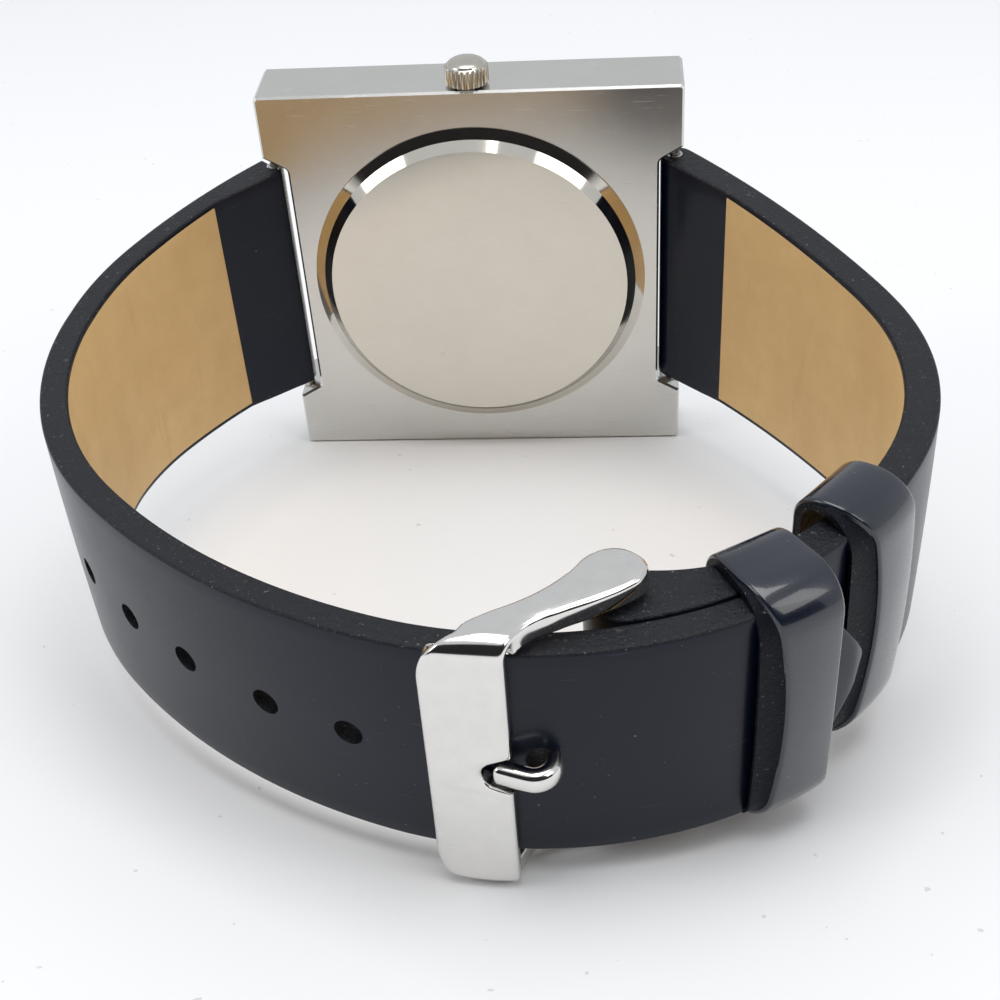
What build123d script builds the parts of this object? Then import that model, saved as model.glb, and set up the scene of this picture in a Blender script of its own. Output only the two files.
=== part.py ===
from build123d import *
import os
from math import acos, cos, degrees, radians, sin

# Square wristwatch on a leather strap, buckled into a loop and standing on its side.
# Frame: +Z is up (the crown side), +Y is the way the dial faces, +X is the twelve o'clock side.
# The origin is the centre of the case's lower side, on which the watch stands.

os.makedirs("parts", exist_ok=True)

# Case
CASE_SIDE = 39.0
MID_Z = CASE_SIDE / 2
FRONT_Y = 3.4
BACK_Y = -3.4
CORNER_CUT = 0.3
BACK_EDGE_CUT = 0.2
FRONT_EDGE_CUT = 0.5
NOTCH_DEPTH = 2.2
NOTCH_FLOOR_HALF = 12.2
NOTCH_MOUTH_HALF = 13.5
NOTCH_FILLET = 0.6
CRYSTAL_POCKET = 31.8
CRYSTAL_LEDGE_Y = 2.0
CRYSTAL_SIDE = 31.0
CRYSTAL_FRONT_Y = FRONT_Y + 0.1
DIAL_POCKET = 30.0
DIAL_LEDGE_Y = 0.5
DIAL_FRONT_Y = 0.9
BORE_RADIUS = 14.0
GROOVE_OUTER = 14.75
GROOVE_INNER = 14.15
GROOVE_DEPTH = 0.5
GASKET_PLAY = 0.05

# Case back: a low flange, a crease, and a sloping wall up to the flat face
BACK_FLANGE_RADIUS = 16.0
BACK_FLANGE_Y = -3.55
BACK_CREASE_RADIUS = 15.1
BACK_CREASE_Y = -3.95
BACK_FACE_RADIUS = 14.3
BACK_FACE_Y = -4.8
BACK_INNER_Y = -3.9
BACK_RIM_OUTER = 13.9
BACK_RIM_INNER = 12.9
BACK_RIM_Y = -2.3

# Crown and stem, as heights up the stem's axis
STEM_Y = -1.7
STEM_SPOTS = [(0, STEM_Y)]
STEM_RADIUS = 0.45
STEM_FIT = 0.01
STEM_INNER_Z = MID_Z + 5.0
STEM_NECK_RADIUS = 0.25
STEM_NECK = (MID_Z + 8.95, MID_Z + 9.45)
STEM_OUTER_Z = CASE_SIDE + 1.65
TUBE_RADIUS = 0.94
TUBE_BORE = 0.55
TUBE_INNER_Z = MID_Z + 14.2
TUBE_OUTER_Z = CASE_SIDE + 0.9
CROWN_RADIUS = 2.0
CROWN_CAP_RADIUS = 1.85
CROWN_CAP_BEVEL = 0.35
CROWN_BOTTOM_Z = CASE_SIDE + 0.2
CROWN_SHOULDER_Z = CASE_SIDE + 1.9
CROWN_TOP_Z = CASE_SIDE + 2.4
CROWN_CAVITY_RADIUS = 1.3
CROWN_CAVITY_Z = CASE_SIDE + 1.0
CROWN_GASKET = (CASE_SIDE + 0.45, CASE_SIDE + 0.75)
FLUTE_COUNT = 24
FLUTE_DEPTH = 0.15
FLUTE_LAND = 0.26

# Spring bars
BAR_RADIUS = 0.75
BAR_BORE = 0.5
PIN_RADIUS = 0.45
PIN_POINT = 0.15
PIN_INSIDE = 1.8
PIN_HOLE_RADIUS = 0.5
LUG_BAR_X = 18.75
LUG_BAR_Y = -1.7
LUG_LOOP_RADIUS = 1.3
LUG_BAR_HALF = 12.0
LUG_PIN_TIP = 13.9
LUG_HOLE_END = 14.3
LEATHER_BORE = 0.8

# The round part of the strap loop is centred here
LOOP_CENTRE = Vector(7.2, -31.3)
TAIL_RADIUS = 33.45
SHORT_RADIUS = 31.0

# Strap: tangent arcs as (radius, turn in degrees), outer face, listed towards the case
LONG_THICKNESS = 2.27
LONG_LEATHER = 1.5
LONG_TIP_POLAR = -45.9
LONG_LINED_ARCS = [(TAIL_RADIUS, 62.5), (51.9, 29.8), (30.2, 68.0), (62.8, 8.7)]
LONG_ARCS = LONG_LINED_ARCS + [(62.8, 7.3)]
SHORT_THICKNESS = 2.73
SHORT_LEATHER = 1.8
SHORT_ROUND_END = -24.0
SHORT_LINED_ARCS = [(25.1, 50.9), (103.7, 10.06)]
SHORT_LUG_ARC = (103.7, 4.42)
FOLD_POLAR = -77.5
FOLD_RADIUS = 2.6
WEDGE_POLAR = -52.0
GLUE_GAP = 0.02
STRAP_WIDTHS = [(4.0, 12.3), (-24.0, 10.2), (-42.0, 9.65), (-74.0, 9.65)]
TIP_HALF_BLUNT = 0.6
TIP_SLOPE = 0.70
TIP_REACH = 12.0
SLOT_LENGTH = 6.0
SLOT_DEPTH = 8.0
SLOT_SHIFT = 0.8

# Holes in the long strap; the tang's own hole is a little stretched
HOLE_COUNT = 7
HOLE_PITCH = 7.13
HOLE_RADIUS = 1.1
TANG_HOLE_RADIUS = 1.2
TANG_HOLE_POLAR = -87.1

# Keepers, as polar angles and radii about the loop centre
FIXED_KEEPER_SPAN = (-63.3, -51.8)
FIXED_KEEPER_BAND = (34.4, 26.6)
FIXED_KEEPER_HOLE = (33.55, 27.4)
FREE_KEEPER_SPAN = (-45.8, -34.8)
FREE_KEEPER_BAND = (32.0, 27.3)
FREE_KEEPER_HOLE = (31.12, 28.15)
KEEPER_HALF_INSIDE = 9.8
KEEPER_HALF_OUTSIDE = 10.7
KEEPER_EDGE_CUT = 0.35

# Buckle
PLATE_SPAN = (-101.5, -91.9)
PLATE_OUTER = 35.2
PLATE_INNER = 33.6
PLATE_CORNER = 2.6
BUCKLE_HALF_HEIGHT = 12.0
BEND_RADIUS = 2.2
ARM_THICKNESS = 2.0
ARM_WRIST_SIDE = [(2.9, -64.0), (4.4, -62.7), (6.9, -61.6), (9.35, -59.2), (11.3, -57.0), (12.7, -56.5)]
ARM_END = [(12.7, -56.5), (14.9, -57.6), (15.0, -59.5), (13.8, -61.6)]
ARM_OUTER_SIDE = [(13.8, -61.6), (11.9, -62.5), (9.45, -63.4), (7.6, -64.7), (6.7, -65.8), (6.0, -66.4)]
ARM_ROOT = (2.6, -65.9)
NOTCH_LENGTH = 4.4
NOTCH_X = 6.3
NOTCH_HALF = 1.7
BUCKLE_BAR_HALF = 9.4
BUCKLE_PIN_TIP = 10.9
BUCKLE_HOLE_END = 11.2
TANG_WIDTH = 1.5
TANG_THICKNESS = 1.1
TANG_START = (-1.1, -0.45)
TANG_POINTS = [(10.3, -60.3), (8.72, -62.1), (8.72, -67.0), (4.75, -65.65)]
TANG_BEND = 0.8
TANG_RING_RADIUS = 1.5
TANG_SLOT_HALF = 1.1

# Dial and hands
DIAL_SIDE = DIAL_POCKET - 0.2
RING_INSIDE = 27.8
RING_BEVEL = 0.8
DIAL_HOLE_RADIUS = 0.95
INDEX_REACH = 11.6
INDEX_HEIGHT = 0.2
QUARTER_INDEX = (3.0, 0.7)
PLAIN_INDEX = (1.8, 0.4)
HAND_THICKNESS = 0.15
SHOWN_HOURS = 10 + 9.5 / 60
FULL_TURN = 360
HOURS_ROUND = 12
MINUTES_ROUND = 60

# Movement: heights along Y, from the dial towards the case back
PLATE_FRONT_Y = 0.45
PLATE_BACK_Y = -2.05
PLATE_RADIUS = 11.65
BRIDGE_BACK_Y = -2.4
MOTION_FLOOR_Y = -0.25
TRAIN_FLOOR_Y = -0.6
LEVER_POST_Y = -2.65
COVER_BACK_Y = -2.8
BATTERY_FRONT_Y = -0.3
BATTERY_STEP_Y = -0.6
BATTERY_BACK_Y = -2.83
CLAMP_FRONT_Y = -2.85
CLAMP_BACK_Y = -2.97
THROUGH_Y = -3.0
ABOVE_Y = 1.0
PIVOT_RADIUS = 0.07
PIVOT_HOLE = 0.1
ARBOR_RADIUS = 0.12
ARBOR_PLAY = 0.05
WHEEL_THICKNESS = 0.15
SCREW_RADIUS = 0.28
SCREW_HOLE = 0.3
SCREW_FLOOR_Y = -1.2
SCREW_HEAD_RADIUS = 0.55
SCREW_HEAD_BACK_Y = -2.65
SCREW_SLOT = (1.2, 0.16)
SLOT_FLOOR_Y = -2.5
STATOR_FRONT_Y = -0.95
STATOR_BACK_Y = -1.25
CORE_BACK_Y = -1.55

# Gear train: each gear's module follows from the centre distance of its pair
CENTRE_DISTANCE = 2.70
ROTOR_DISTANCE = 1.89
MOTION_DISTANCE = 2.4
PINION_TEETH = 6
SECOND_TEETH = 30
THIRD_TEETH = 48
CENTRE_TEETH = 45
INTERMEDIATE_TEETH = 36
CANNON_TEETH = 10
MINUTE_TEETH = 30
MINUTE_PINION_TEETH = 8
HOUR_TEETH = 32
THIRD_ANGLE = 150
INTERMEDIATE_ANGLE = -15
ROTOR_ANGLE = -10
MINUTE_ANGLE = 90
TOOTH_TIP = 0.8
TOOTH_ROOT = 1.15
ROTOR_LEVEL = -1.8
SECOND_LEVEL = -1.5
THIRD_LEVEL = -1.15
CENTRE_LEVEL = -0.75
PINION_LIFT = 0.05

# Pockets and posts of the movement's plate
RING_BACK_Y = -1.9
STEM_CHANNEL_FRONT_Y = -1.15
STEM_CHANNEL = (1.3, 9.0, (0, 9.0))
RING_CHANNEL = (1.3, 6.0, (0, 13.0))
CLUTCH_ROOM_FRONT_Y = -0.7
CLUTCH_ROOM = (2.2, 2.6, (0, 6.2))
COIL_ROOM = (6.1, 10.6, (6.25, 0))
QUARTZ_ROOM_FRONT_Y = -0.65
QUARTZ_ROOM = (1.7, 5.0)
BATTERY_ROOM_FRONT_Y = -0.2
MOTION_POCKET_RADIUS = 2.3
MINUTE_POST_RADIUS = 0.25
MINUTE_POST_FRONT_Y = 0.4
SECOND_POCKET_RADIUS = 2.9
THIRD_POCKET_RADIUS = 2.7
INTERMEDIATE_POCKET_RADIUS = 2.0
CENTRE_HOLE_RADIUS = 0.38
CLAMP_POST_RADIUS = 0.4
PIVOT_FLOOR_Y = -0.4
LEVER_Y = (-2.2, -2.4)
LEVER_STUD_Y = (-2.0, -2.3)
LEVER_STUD_RADIUS = 0.15
YOKE_Y = (-2.35, -2.55)
PAD_RADIUS = 0.8
BOARD_THICKNESS = 0.2
BOARD_OUTLINE = [(0, -6.0), (8.8, -6.0), (6.8, -8.9), (2.5, -10.9), (0, -10.9)]
CHIP_SIDE = 2.4
CHIP_HEIGHT = 0.5
CHIP_SPOT = (3.2, -8.2)
STATOR_SIZE = (2.6, 10.2, (4.7, 0))
STATOR_LEG = (5.0, 1.2)
STATOR_LEG_X = 6.7
STATOR_LEG_REACH = 4.5
STATOR_ROTOR_HOLE = 0.95
STATOR_WHEEL_HOLE = 0.3
CORE_LENGTH = 10.0
MAGNET_RADIUS = 0.7
MAGNET_Y = (-0.9, -1.3)

# Small and hidden rounds are polygons, so that the mesh stays light: radii up to a limit, and their sides
RING_SIDES = 40
ROUND_SIDES = [(0.6, 12), (1.6, 20), (4.0, 30), (CASE_SIDE, RING_SIDES)]
LEATHER_HOLE_SIDES = 12
LINING_HOLE_SIDES = 8


# Planes and places

def face_plane(y):
    """Plane parallel to the dial; its X is +X, its Y is up, and it extrudes towards the case back."""
    return Plane(origin=(0, y, MID_Z), x_dir=(1, 0, 0), z_dir=(0, -1, 0))


def polar(radius, angle, start=(0, 0)):
    """Point at a distance and an angle in degrees from a start."""
    return (start[0] + radius * cos(radians(angle)), start[1] + radius * sin(radians(angle)))


def loop_point(radius, angle):
    """Point at a polar place about the centre of the strap loop."""
    return Vector(*polar(radius, angle, (LOOP_CENTRE.X, LOOP_CENTRE.Y)))


THIRD_SPOT = polar(CENTRE_DISTANCE, THIRD_ANGLE)
INTERMEDIATE_SPOT = polar(CENTRE_DISTANCE, INTERMEDIATE_ANGLE)
ROTOR_SPOT = polar(ROTOR_DISTANCE, ROTOR_ANGLE, INTERMEDIATE_SPOT)
MINUTE_SPOT = polar(MOTION_DISTANCE, MINUTE_ANGLE)
MIDDLE_SPOT = (0, 0)
BATTERY_SPOT = (-5.6, -5.0)
BATTERY_RADIUS = 3.4
BATTERY_STEP_RADIUS = 2.8
COIL_X = 8.3
COIL_Y = -1.4
COIL_RADIUS = 0.75
COIL_HALF = 3.8
CORE_WIDTH = 1.0
QUARTZ_SPOT = (-8.2, 3.0)
QUARTZ_RADIUS = 0.7
QUARTZ_HALF = 2.3
SCREW_SPOTS = [(-4.9, 3.5), (1.0, -4.0), (2.2, 3.6)]
CLAMP_SPOTS = [(-9.6, -1.6), (-1.6, -8.6)]
LEVER_SPOT = (3.0, 8.6)
LEVER_TIP = (0, 9.2)
YOKE_SPOT = (-3.0, 6.2)
YOKE_TIP = (0.3, 6.5)
COVER_FOOT = (-2.6, 9.4)
LEVER_BORE = 0.54
LEVER_POST_RADIUS = 0.5
BUCKLE_BAR = loop_point(SHORT_RADIUS - FOLD_RADIUS, FOLD_POLAR)
BUCKLE_BAR_SPOTS = [(BUCKLE_BAR.X, BUCKLE_BAR.Y)]
LUG_BAR_SPOTS = [(LUG_BAR_X, LUG_BAR_Y), (-LUG_BAR_X, LUG_BAR_Y)]
TANG_ROUTE = [(BUCKLE_BAR.X + TANG_START[0], BUCKLE_BAR.Y + TANG_START[1])] + TANG_POINTS


# Shapes that several pieces share

def round_face(radius, hole=False):
    """A small or hidden disc as a polygon: inside the circle, or round it where it is a hole."""
    sides = next(sides for limit, sides in ROUND_SIDES if radius < limit)
    RegularPolygon(radius, sides, major_radius=not hole)


def discs(front, back, radius, spots=(MIDDLE_SPOT,), mode=Mode.ADD):
    """Extrude equal discs between two depths."""
    with BuildSketch(face_plane(front)) as outline:
        with Locations(*spots):
            round_face(radius, mode == Mode.SUBTRACT)
    extrude(outline.sketch, amount=front - back, mode=mode)


def posts(low, high, radius, spots, mode=Mode.ADD):
    """Extrude equal discs between two heights."""
    with BuildSketch(Plane.XY.offset(low)) as outline:
        with Locations(*spots):
            round_face(radius, mode == Mode.SUBTRACT)
    extrude(outline.sketch, amount=high - low, mode=mode)


def block(front, back, width, height, spot=MIDDLE_SPOT, mode=Mode.ADD):
    """Extrude a rectangle between two depths."""
    with BuildSketch(face_plane(front)) as outline:
        with Locations(spot):
            Rectangle(width, height)
    extrude(outline.sketch, amount=front - back, mode=mode)


def hull_plate(front, back, circles):
    """Extrude the outline stretched round circles given as (spot, radius)."""
    with BuildSketch(face_plane(front)) as outline:
        for spot, radius in circles:
            with Locations(spot):
                round_face(radius)
        make_hull()
    extrude(outline.sketch, amount=front - back)


def flat_ring(front, back, outer, inner, mode=Mode.ADD):
    """Extrude a hidden ring with many flats, which stays between the radii, or a groove that clears them."""
    groove = mode == Mode.SUBTRACT
    with BuildSketch(face_plane(front)) as outline:
        RegularPolygon(outer, RING_SIDES, major_radius=not groove)
        RegularPolygon(inner, RING_SIDES, major_radius=groove, mode=Mode.SUBTRACT)
    extrude(outline.sketch, amount=front - back, mode=mode)


def square_ring(front, back, outer, inner):
    """Extrude a square frame."""
    with BuildSketch(face_plane(front)) as outline:
        Rectangle(outer, outer)
        Rectangle(inner, inner, mode=Mode.SUBTRACT)
    extrude(outline.sketch, amount=front - back)


def gear(front, thickness, teeth, pitch_radius, spot, tooth_angle):
    """Extrude a gear with plain pointed teeth, one of them at the tooth angle."""
    pitch = FULL_TURN / teeth
    module = 2 * pitch_radius / teeth
    tip = pitch_radius + TOOTH_TIP * module
    root = pitch_radius - TOOTH_ROOT * module
    points = []
    for tooth in range(teeth):
        points.append(polar(tip, tooth_angle + tooth * pitch, spot))
        points.append(polar(root, tooth_angle + (tooth + 0.5) * pitch, spot))
    with BuildSketch(face_plane(front)) as outline:
        with BuildLine():
            Polyline(*points, close=True)
        make_face()
    extrude(outline.sketch, amount=thickness)


def arbor(spot):
    """A wheel's arbor between the plate and the bridge, with a pivot at each end."""
    discs(TRAIN_FLOOR_Y - ARBOR_PLAY, PLATE_BACK_Y + ARBOR_PLAY, ARBOR_RADIUS, [spot])
    discs(TRAIN_FLOOR_Y + PIVOT_HOLE, BRIDGE_BACK_Y + PIVOT_HOLE, PIVOT_RADIUS, [spot])


def pair_radii(distance, teeth, pinion_teeth):
    """Pitch radii of a wheel and its pinion at a centre distance."""
    wheel_radius = distance * teeth / (teeth + pinion_teeth)
    return wheel_radius, distance - wheel_radius


def ring_sector(band, span, half_height, mode=Mode.ADD):
    """Extrude a sector of a ring about the loop's centre; the band is (outer, inner) radius."""
    outer, inner = band
    low, high = span
    middle = (low + high) / 2
    with BuildSketch(Plane.XY.offset(MID_Z - half_height)) as outline:
        with BuildLine():
            ThreePointArc(loop_point(outer, low), loop_point(outer, middle), loop_point(outer, high))
            Line(loop_point(outer, high), loop_point(inner, high))
            ThreePointArc(loop_point(inner, high), loop_point(inner, middle), loop_point(inner, low))
            Line(loop_point(inner, low), loop_point(outer, low))
        make_face()
    extrude(outline.sketch, amount=2 * half_height, mode=mode)


def finish(part, name):
    """Label a piece and write its file."""
    part.label = name
    export_step(part, f"parts/{name}.step")


# Strap faces: tangent arcs that all turn the same way

def inward(heading, side):
    """Unit vector towards the wrist for a face walked with a heading."""
    return Vector(0, side).rotate(Axis.Z, heading)


def draw_face(start, heading, side, arcs, inset):
    """Draw tangent arcs, moved towards the wrist by the inset; side is 1 for left turns, -1 for right.
    Returns the last point drawn, the outer face's last point and the heading there."""
    point = start
    for radius, turn in arcs:
        centre = point + inward(heading, side) * radius
        first = point + inward(heading, side) * inset - centre
        half = first.rotate(Axis.Z, side * turn / 2)
        last = first.rotate(Axis.Z, side * turn)
        ThreePointArc(centre + first, centre + half, centre + last)
        point = centre + (point - centre).rotate(Axis.Z, side * turn)
        heading = heading + side * turn
    return centre + last, point, heading


def draw_lug_end(point, heading, side, inner_point):
    """Draw the round end about the lug bar, from the outer face round and along to the inner face."""
    bar = Vector(side * LUG_BAR_X, LUG_BAR_Y)
    gap = point - bar
    towards_wrist = inward(heading, side)
    radius = (gap.dot(gap) - LUG_LOOP_RADIUS ** 2) / (2 * (-gap.dot(towards_wrist) - LUG_LOOP_RADIUS))
    centre = point + towards_wrist * radius
    touch = tangent_touch(inner_point, centre, radius, side)
    far_side = centre + (centre - (point + touch) * 0.5).normalized() * radius
    ThreePointArc(point, far_side, touch)
    Line(touch, inner_point)


def tangent_touch(point, centre, radius, side):
    """Where a line from a point touches a circle, on the wrist side."""
    gap = point - centre
    angle = degrees(acos(radius / gap.length))
    return centre + gap.normalized().rotate(Axis.Z, -side * angle) * radius


def trim_to_width():
    """Keep only what lies within the strap's width."""
    with BuildSketch(Plane.YZ) as outline:
        with BuildLine():
            top = [(y, MID_Z + half) for y, half in STRAP_WIDTHS]
            bottom = [(y, MID_Z - half) for y, half in reversed(STRAP_WIDTHS)]
            Polyline(*top, *bottom, close=True)
        make_face()
    extrude(outline.sketch, amount=2 * CASE_SIDE, both=True, mode=Mode.INTERSECT)


def long_start():
    """Tip of the long strap and its heading there."""
    return loop_point(TAIL_RADIUS, LONG_TIP_POLAR), LONG_TIP_POLAR - 90


def hole_planes():
    """Planes of the strap holes, with Z pointing out of the strap, from the buckle to the case."""
    point, heading = long_start()
    along = radians(LONG_TIP_POLAR - TANG_HOLE_POLAR) * TAIL_RADIUS
    planes = []
    for radius, turn in LONG_ARCS:
        centre = point + inward(heading, -1) * radius
        arc_length = radians(turn) * radius
        while along < arc_length and len(planes) < HOLE_COUNT:
            spot = centre + (point - centre).rotate(Axis.Z, -degrees(along / radius))
            outwards = (spot - centre).normalized()
            planes.append(Plane(origin=(spot.X, spot.Y, MID_Z), x_dir=(0, 0, 1), z_dir=outwards))
            along = along + HOLE_PITCH
        point = centre + (point - centre).rotate(Axis.Z, -turn)
        heading = heading - turn
        along = along - arc_length
    return planes


def cut_strap_holes(sides):
    """Punch the buckle holes, as polygons round the circle."""
    for number, plane in enumerate(hole_planes()):
        radius = TANG_HOLE_RADIUS if number == 0 else HOLE_RADIUS
        with BuildSketch(plane) as outline:
            RegularPolygon(radius, sides, major_radius=False)
        extrude(outline.sketch, amount=2 * LONG_THICKNESS, both=True, mode=Mode.SUBTRACT)


def cut_pointed_tip():
    """Cut both sides of the tail's tip back to a blunt point."""
    tip = loop_point(TAIL_RADIUS, LONG_TIP_POLAR)
    along = loop_point(1, LONG_TIP_POLAR + 90) - LOOP_CENTRE
    outwards = loop_point(1, LONG_TIP_POLAR) - LOOP_CENTRE
    back = -TIP_SLOPE * (TIP_REACH - TIP_HALF_BLUNT)
    beyond = 2 * LONG_THICKNESS
    with BuildSketch(Plane(origin=(tip.X, tip.Y, MID_Z), x_dir=along, z_dir=outwards)) as corner:
        with BuildLine():
            Polyline(
                (0, TIP_HALF_BLUNT),
                (beyond, TIP_HALF_BLUNT),
                (beyond, TIP_REACH),
                (back, TIP_REACH),
                close=True,
            )
        make_face()
        mirror(about=Plane.XZ)
    extrude(corner.sketch, amount=2 * beyond, both=True, mode=Mode.SUBTRACT)


# Case

with BuildPart() as case_middle:
    with BuildSketch(face_plane(FRONT_Y)):
        Rectangle(CASE_SIDE, CASE_SIDE)
        chamfer(vertices(), length=CORNER_CUT)
        with BuildLine():
            Polyline(
                (MID_Z, NOTCH_MOUTH_HALF),
                (MID_Z - NOTCH_DEPTH, NOTCH_FLOOR_HALF),
                (MID_Z - NOTCH_DEPTH, -NOTCH_FLOOR_HALF),
                (MID_Z, -NOTCH_MOUTH_HALF),
                close=True,
            )
        notch = make_face(mode=Mode.SUBTRACT)
        mirror(notch, about=Plane.YZ, mode=Mode.SUBTRACT)
        corners = vertices()
        fillet(corners.filter_by(lambda spot: abs(abs(spot.Y) - NOTCH_FLOOR_HALF) < CORNER_CUT), NOTCH_FILLET)
    extrude(amount=FRONT_Y - BACK_Y)
    chamfer(faces().sort_by(Axis.Y)[0].edges(), length=BACK_EDGE_CUT)
    chamfer(faces().sort_by(Axis.Y)[-1].edges(), length=FRONT_EDGE_CUT)
    block(CRYSTAL_FRONT_Y, CRYSTAL_LEDGE_Y, CRYSTAL_POCKET, CRYSTAL_POCKET, mode=Mode.SUBTRACT)
    block(CRYSTAL_FRONT_Y, DIAL_LEDGE_Y, DIAL_POCKET, DIAL_POCKET, mode=Mode.SUBTRACT)
    discs(CRYSTAL_FRONT_Y, BACK_Y, BORE_RADIUS, mode=Mode.SUBTRACT)
    flat_ring(BACK_Y + GROOVE_DEPTH, BACK_Y, GROOVE_OUTER, GROOVE_INNER, Mode.SUBTRACT)
    posts(MID_Z, CASE_SIDE, TUBE_RADIUS + STEM_FIT, STEM_SPOTS, Mode.SUBTRACT)
    posts(MID_Z - LUG_HOLE_END, MID_Z + LUG_HOLE_END, PIN_HOLE_RADIUS, LUG_BAR_SPOTS, Mode.SUBTRACT)
finish(case_middle.part, "case_middle")

with BuildPart() as case_back:
    with BuildSketch(Plane.XY.offset(MID_Z)):
        with BuildLine():
            Polyline(
                (0, BACK_FACE_Y), (BACK_FACE_RADIUS, BACK_FACE_Y), (BACK_CREASE_RADIUS, BACK_CREASE_Y),
                (BACK_FLANGE_RADIUS, BACK_FLANGE_Y), (BACK_FLANGE_RADIUS, BACK_Y), (0, BACK_Y), close=True,
            )
        make_face()
    revolve(axis=Axis((0, 0, MID_Z), (0, 1, 0)))
    flat_ring(BACK_RIM_Y, BACK_Y, BACK_RIM_OUTER, BACK_RIM_INNER)
    discs(BACK_Y, BACK_INNER_Y, BACK_RIM_INNER, mode=Mode.SUBTRACT)
finish(case_back.part, "case_back")

with BuildPart() as case_back_gasket:
    flat_ring(BACK_Y + GROOVE_DEPTH - GASKET_PLAY, BACK_Y + GASKET_PLAY / 2, GROOVE_OUTER - GASKET_PLAY,
              GROOVE_INNER + GASKET_PLAY)
finish(case_back_gasket.part, "case_back_gasket")

with BuildPart() as crystal:
    block(CRYSTAL_FRONT_Y, CRYSTAL_LEDGE_Y, CRYSTAL_SIDE, CRYSTAL_SIDE)
    chamfer(edges().filter_by(Axis.Y), length=CORNER_CUT)
    chamfer(faces().sort_by(Axis.Y)[-1].edges(), length=CORNER_CUT)
finish(crystal.part, "crystal")

with BuildPart() as crystal_gasket:
    square_ring(FRONT_Y - BACK_EDGE_CUT, CRYSTAL_LEDGE_Y, CRYSTAL_POCKET - GASKET_PLAY,
                CRYSTAL_SIDE + GASKET_PLAY)
finish(crystal_gasket.part, "crystal_gasket")

with BuildPart() as crown_tube:
    posts(TUBE_INNER_Z, TUBE_OUTER_Z, TUBE_RADIUS, STEM_SPOTS)
    posts(TUBE_INNER_Z, TUBE_OUTER_Z, TUBE_BORE, STEM_SPOTS, Mode.SUBTRACT)
finish(crown_tube.part, "crown_tube")

with BuildPart() as crown:
    with BuildSketch(Plane.XY.offset(CROWN_SHOULDER_Z)):
        with Locations(*STEM_SPOTS):
            Circle(CROWN_CAP_RADIUS)
    extrude(amount=CROWN_TOP_Z - CROWN_SHOULDER_Z)
    chamfer(faces().sort_by(Axis.Z)[-1].edges(), length=CROWN_CAP_BEVEL)
    with BuildSketch(Plane.XY.offset(CROWN_BOTTOM_Z)):
        with BuildLine():
            flute_pitch = FULL_TURN / FLUTE_COUNT
            rim = []
            for flute in range(FLUTE_COUNT):
                rim.append(polar(CROWN_RADIUS, (flute - FLUTE_LAND) * flute_pitch, STEM_SPOTS[0]))
                rim.append(polar(CROWN_RADIUS, (flute + FLUTE_LAND) * flute_pitch, STEM_SPOTS[0]))
                rim.append(polar(CROWN_RADIUS - FLUTE_DEPTH, (flute + 0.5) * flute_pitch, STEM_SPOTS[0]))
            Polyline(*rim, close=True)
        make_face()
    extrude(amount=CROWN_SHOULDER_Z - CROWN_BOTTOM_Z)
    posts(CROWN_BOTTOM_Z, CROWN_CAVITY_Z, CROWN_CAVITY_RADIUS, STEM_SPOTS, Mode.SUBTRACT)
    posts(CROWN_CAVITY_Z, STEM_OUTER_Z + GASKET_PLAY, STEM_RADIUS + STEM_FIT, STEM_SPOTS, Mode.SUBTRACT)
finish(crown.part, "crown")

with BuildPart() as crown_gasket:
    posts(*CROWN_GASKET, CROWN_CAVITY_RADIUS - STEM_FIT, STEM_SPOTS)
    posts(*CROWN_GASKET, TUBE_RADIUS + STEM_FIT, STEM_SPOTS, Mode.SUBTRACT)
finish(crown_gasket.part, "crown_gasket")

with BuildPart() as stem:
    posts(STEM_INNER_Z, STEM_NECK[0], STEM_RADIUS, STEM_SPOTS)
    posts(*STEM_NECK, STEM_NECK_RADIUS, STEM_SPOTS)
    posts(STEM_NECK[1], STEM_OUTER_Z, STEM_RADIUS, STEM_SPOTS)
finish(stem.part, "stem")

# Dial and hands

with BuildPart() as dial_ring:
    square_ring(CRYSTAL_LEDGE_Y, DIAL_FRONT_Y, DIAL_SIDE, RING_INSIDE)
    chamfer(faces().sort_by(Axis.Y)[-1].inner_wires()[0].edges(), length=RING_BEVEL)
finish(dial_ring.part, "dial_ring")

with BuildPart() as dial:
    block(DIAL_FRONT_Y, DIAL_LEDGE_Y, DIAL_SIDE, DIAL_SIDE)
    discs(DIAL_FRONT_Y, DIAL_LEDGE_Y, DIAL_HOLE_RADIUS, mode=Mode.SUBTRACT)
finish(dial.part, "dial")

with BuildPart() as dial_indices:
    for hour in range(HOURS_ROUND):
        angle = hour * FULL_TURN / HOURS_ROUND
        length, width = QUARTER_INDEX if angle % 90 == 0 else PLAIN_INDEX
        reach = INDEX_REACH / max(abs(cos(radians(angle))), abs(sin(radians(angle))))
        with BuildSketch(face_plane(DIAL_FRONT_Y + INDEX_HEIGHT)):
            with Locations(Location((*polar(reach, angle), 0), angle)):
                Rectangle(length, width)
        extrude(amount=INDEX_HEIGHT)
finish(dial_indices.part, "dial_indices")

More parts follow.
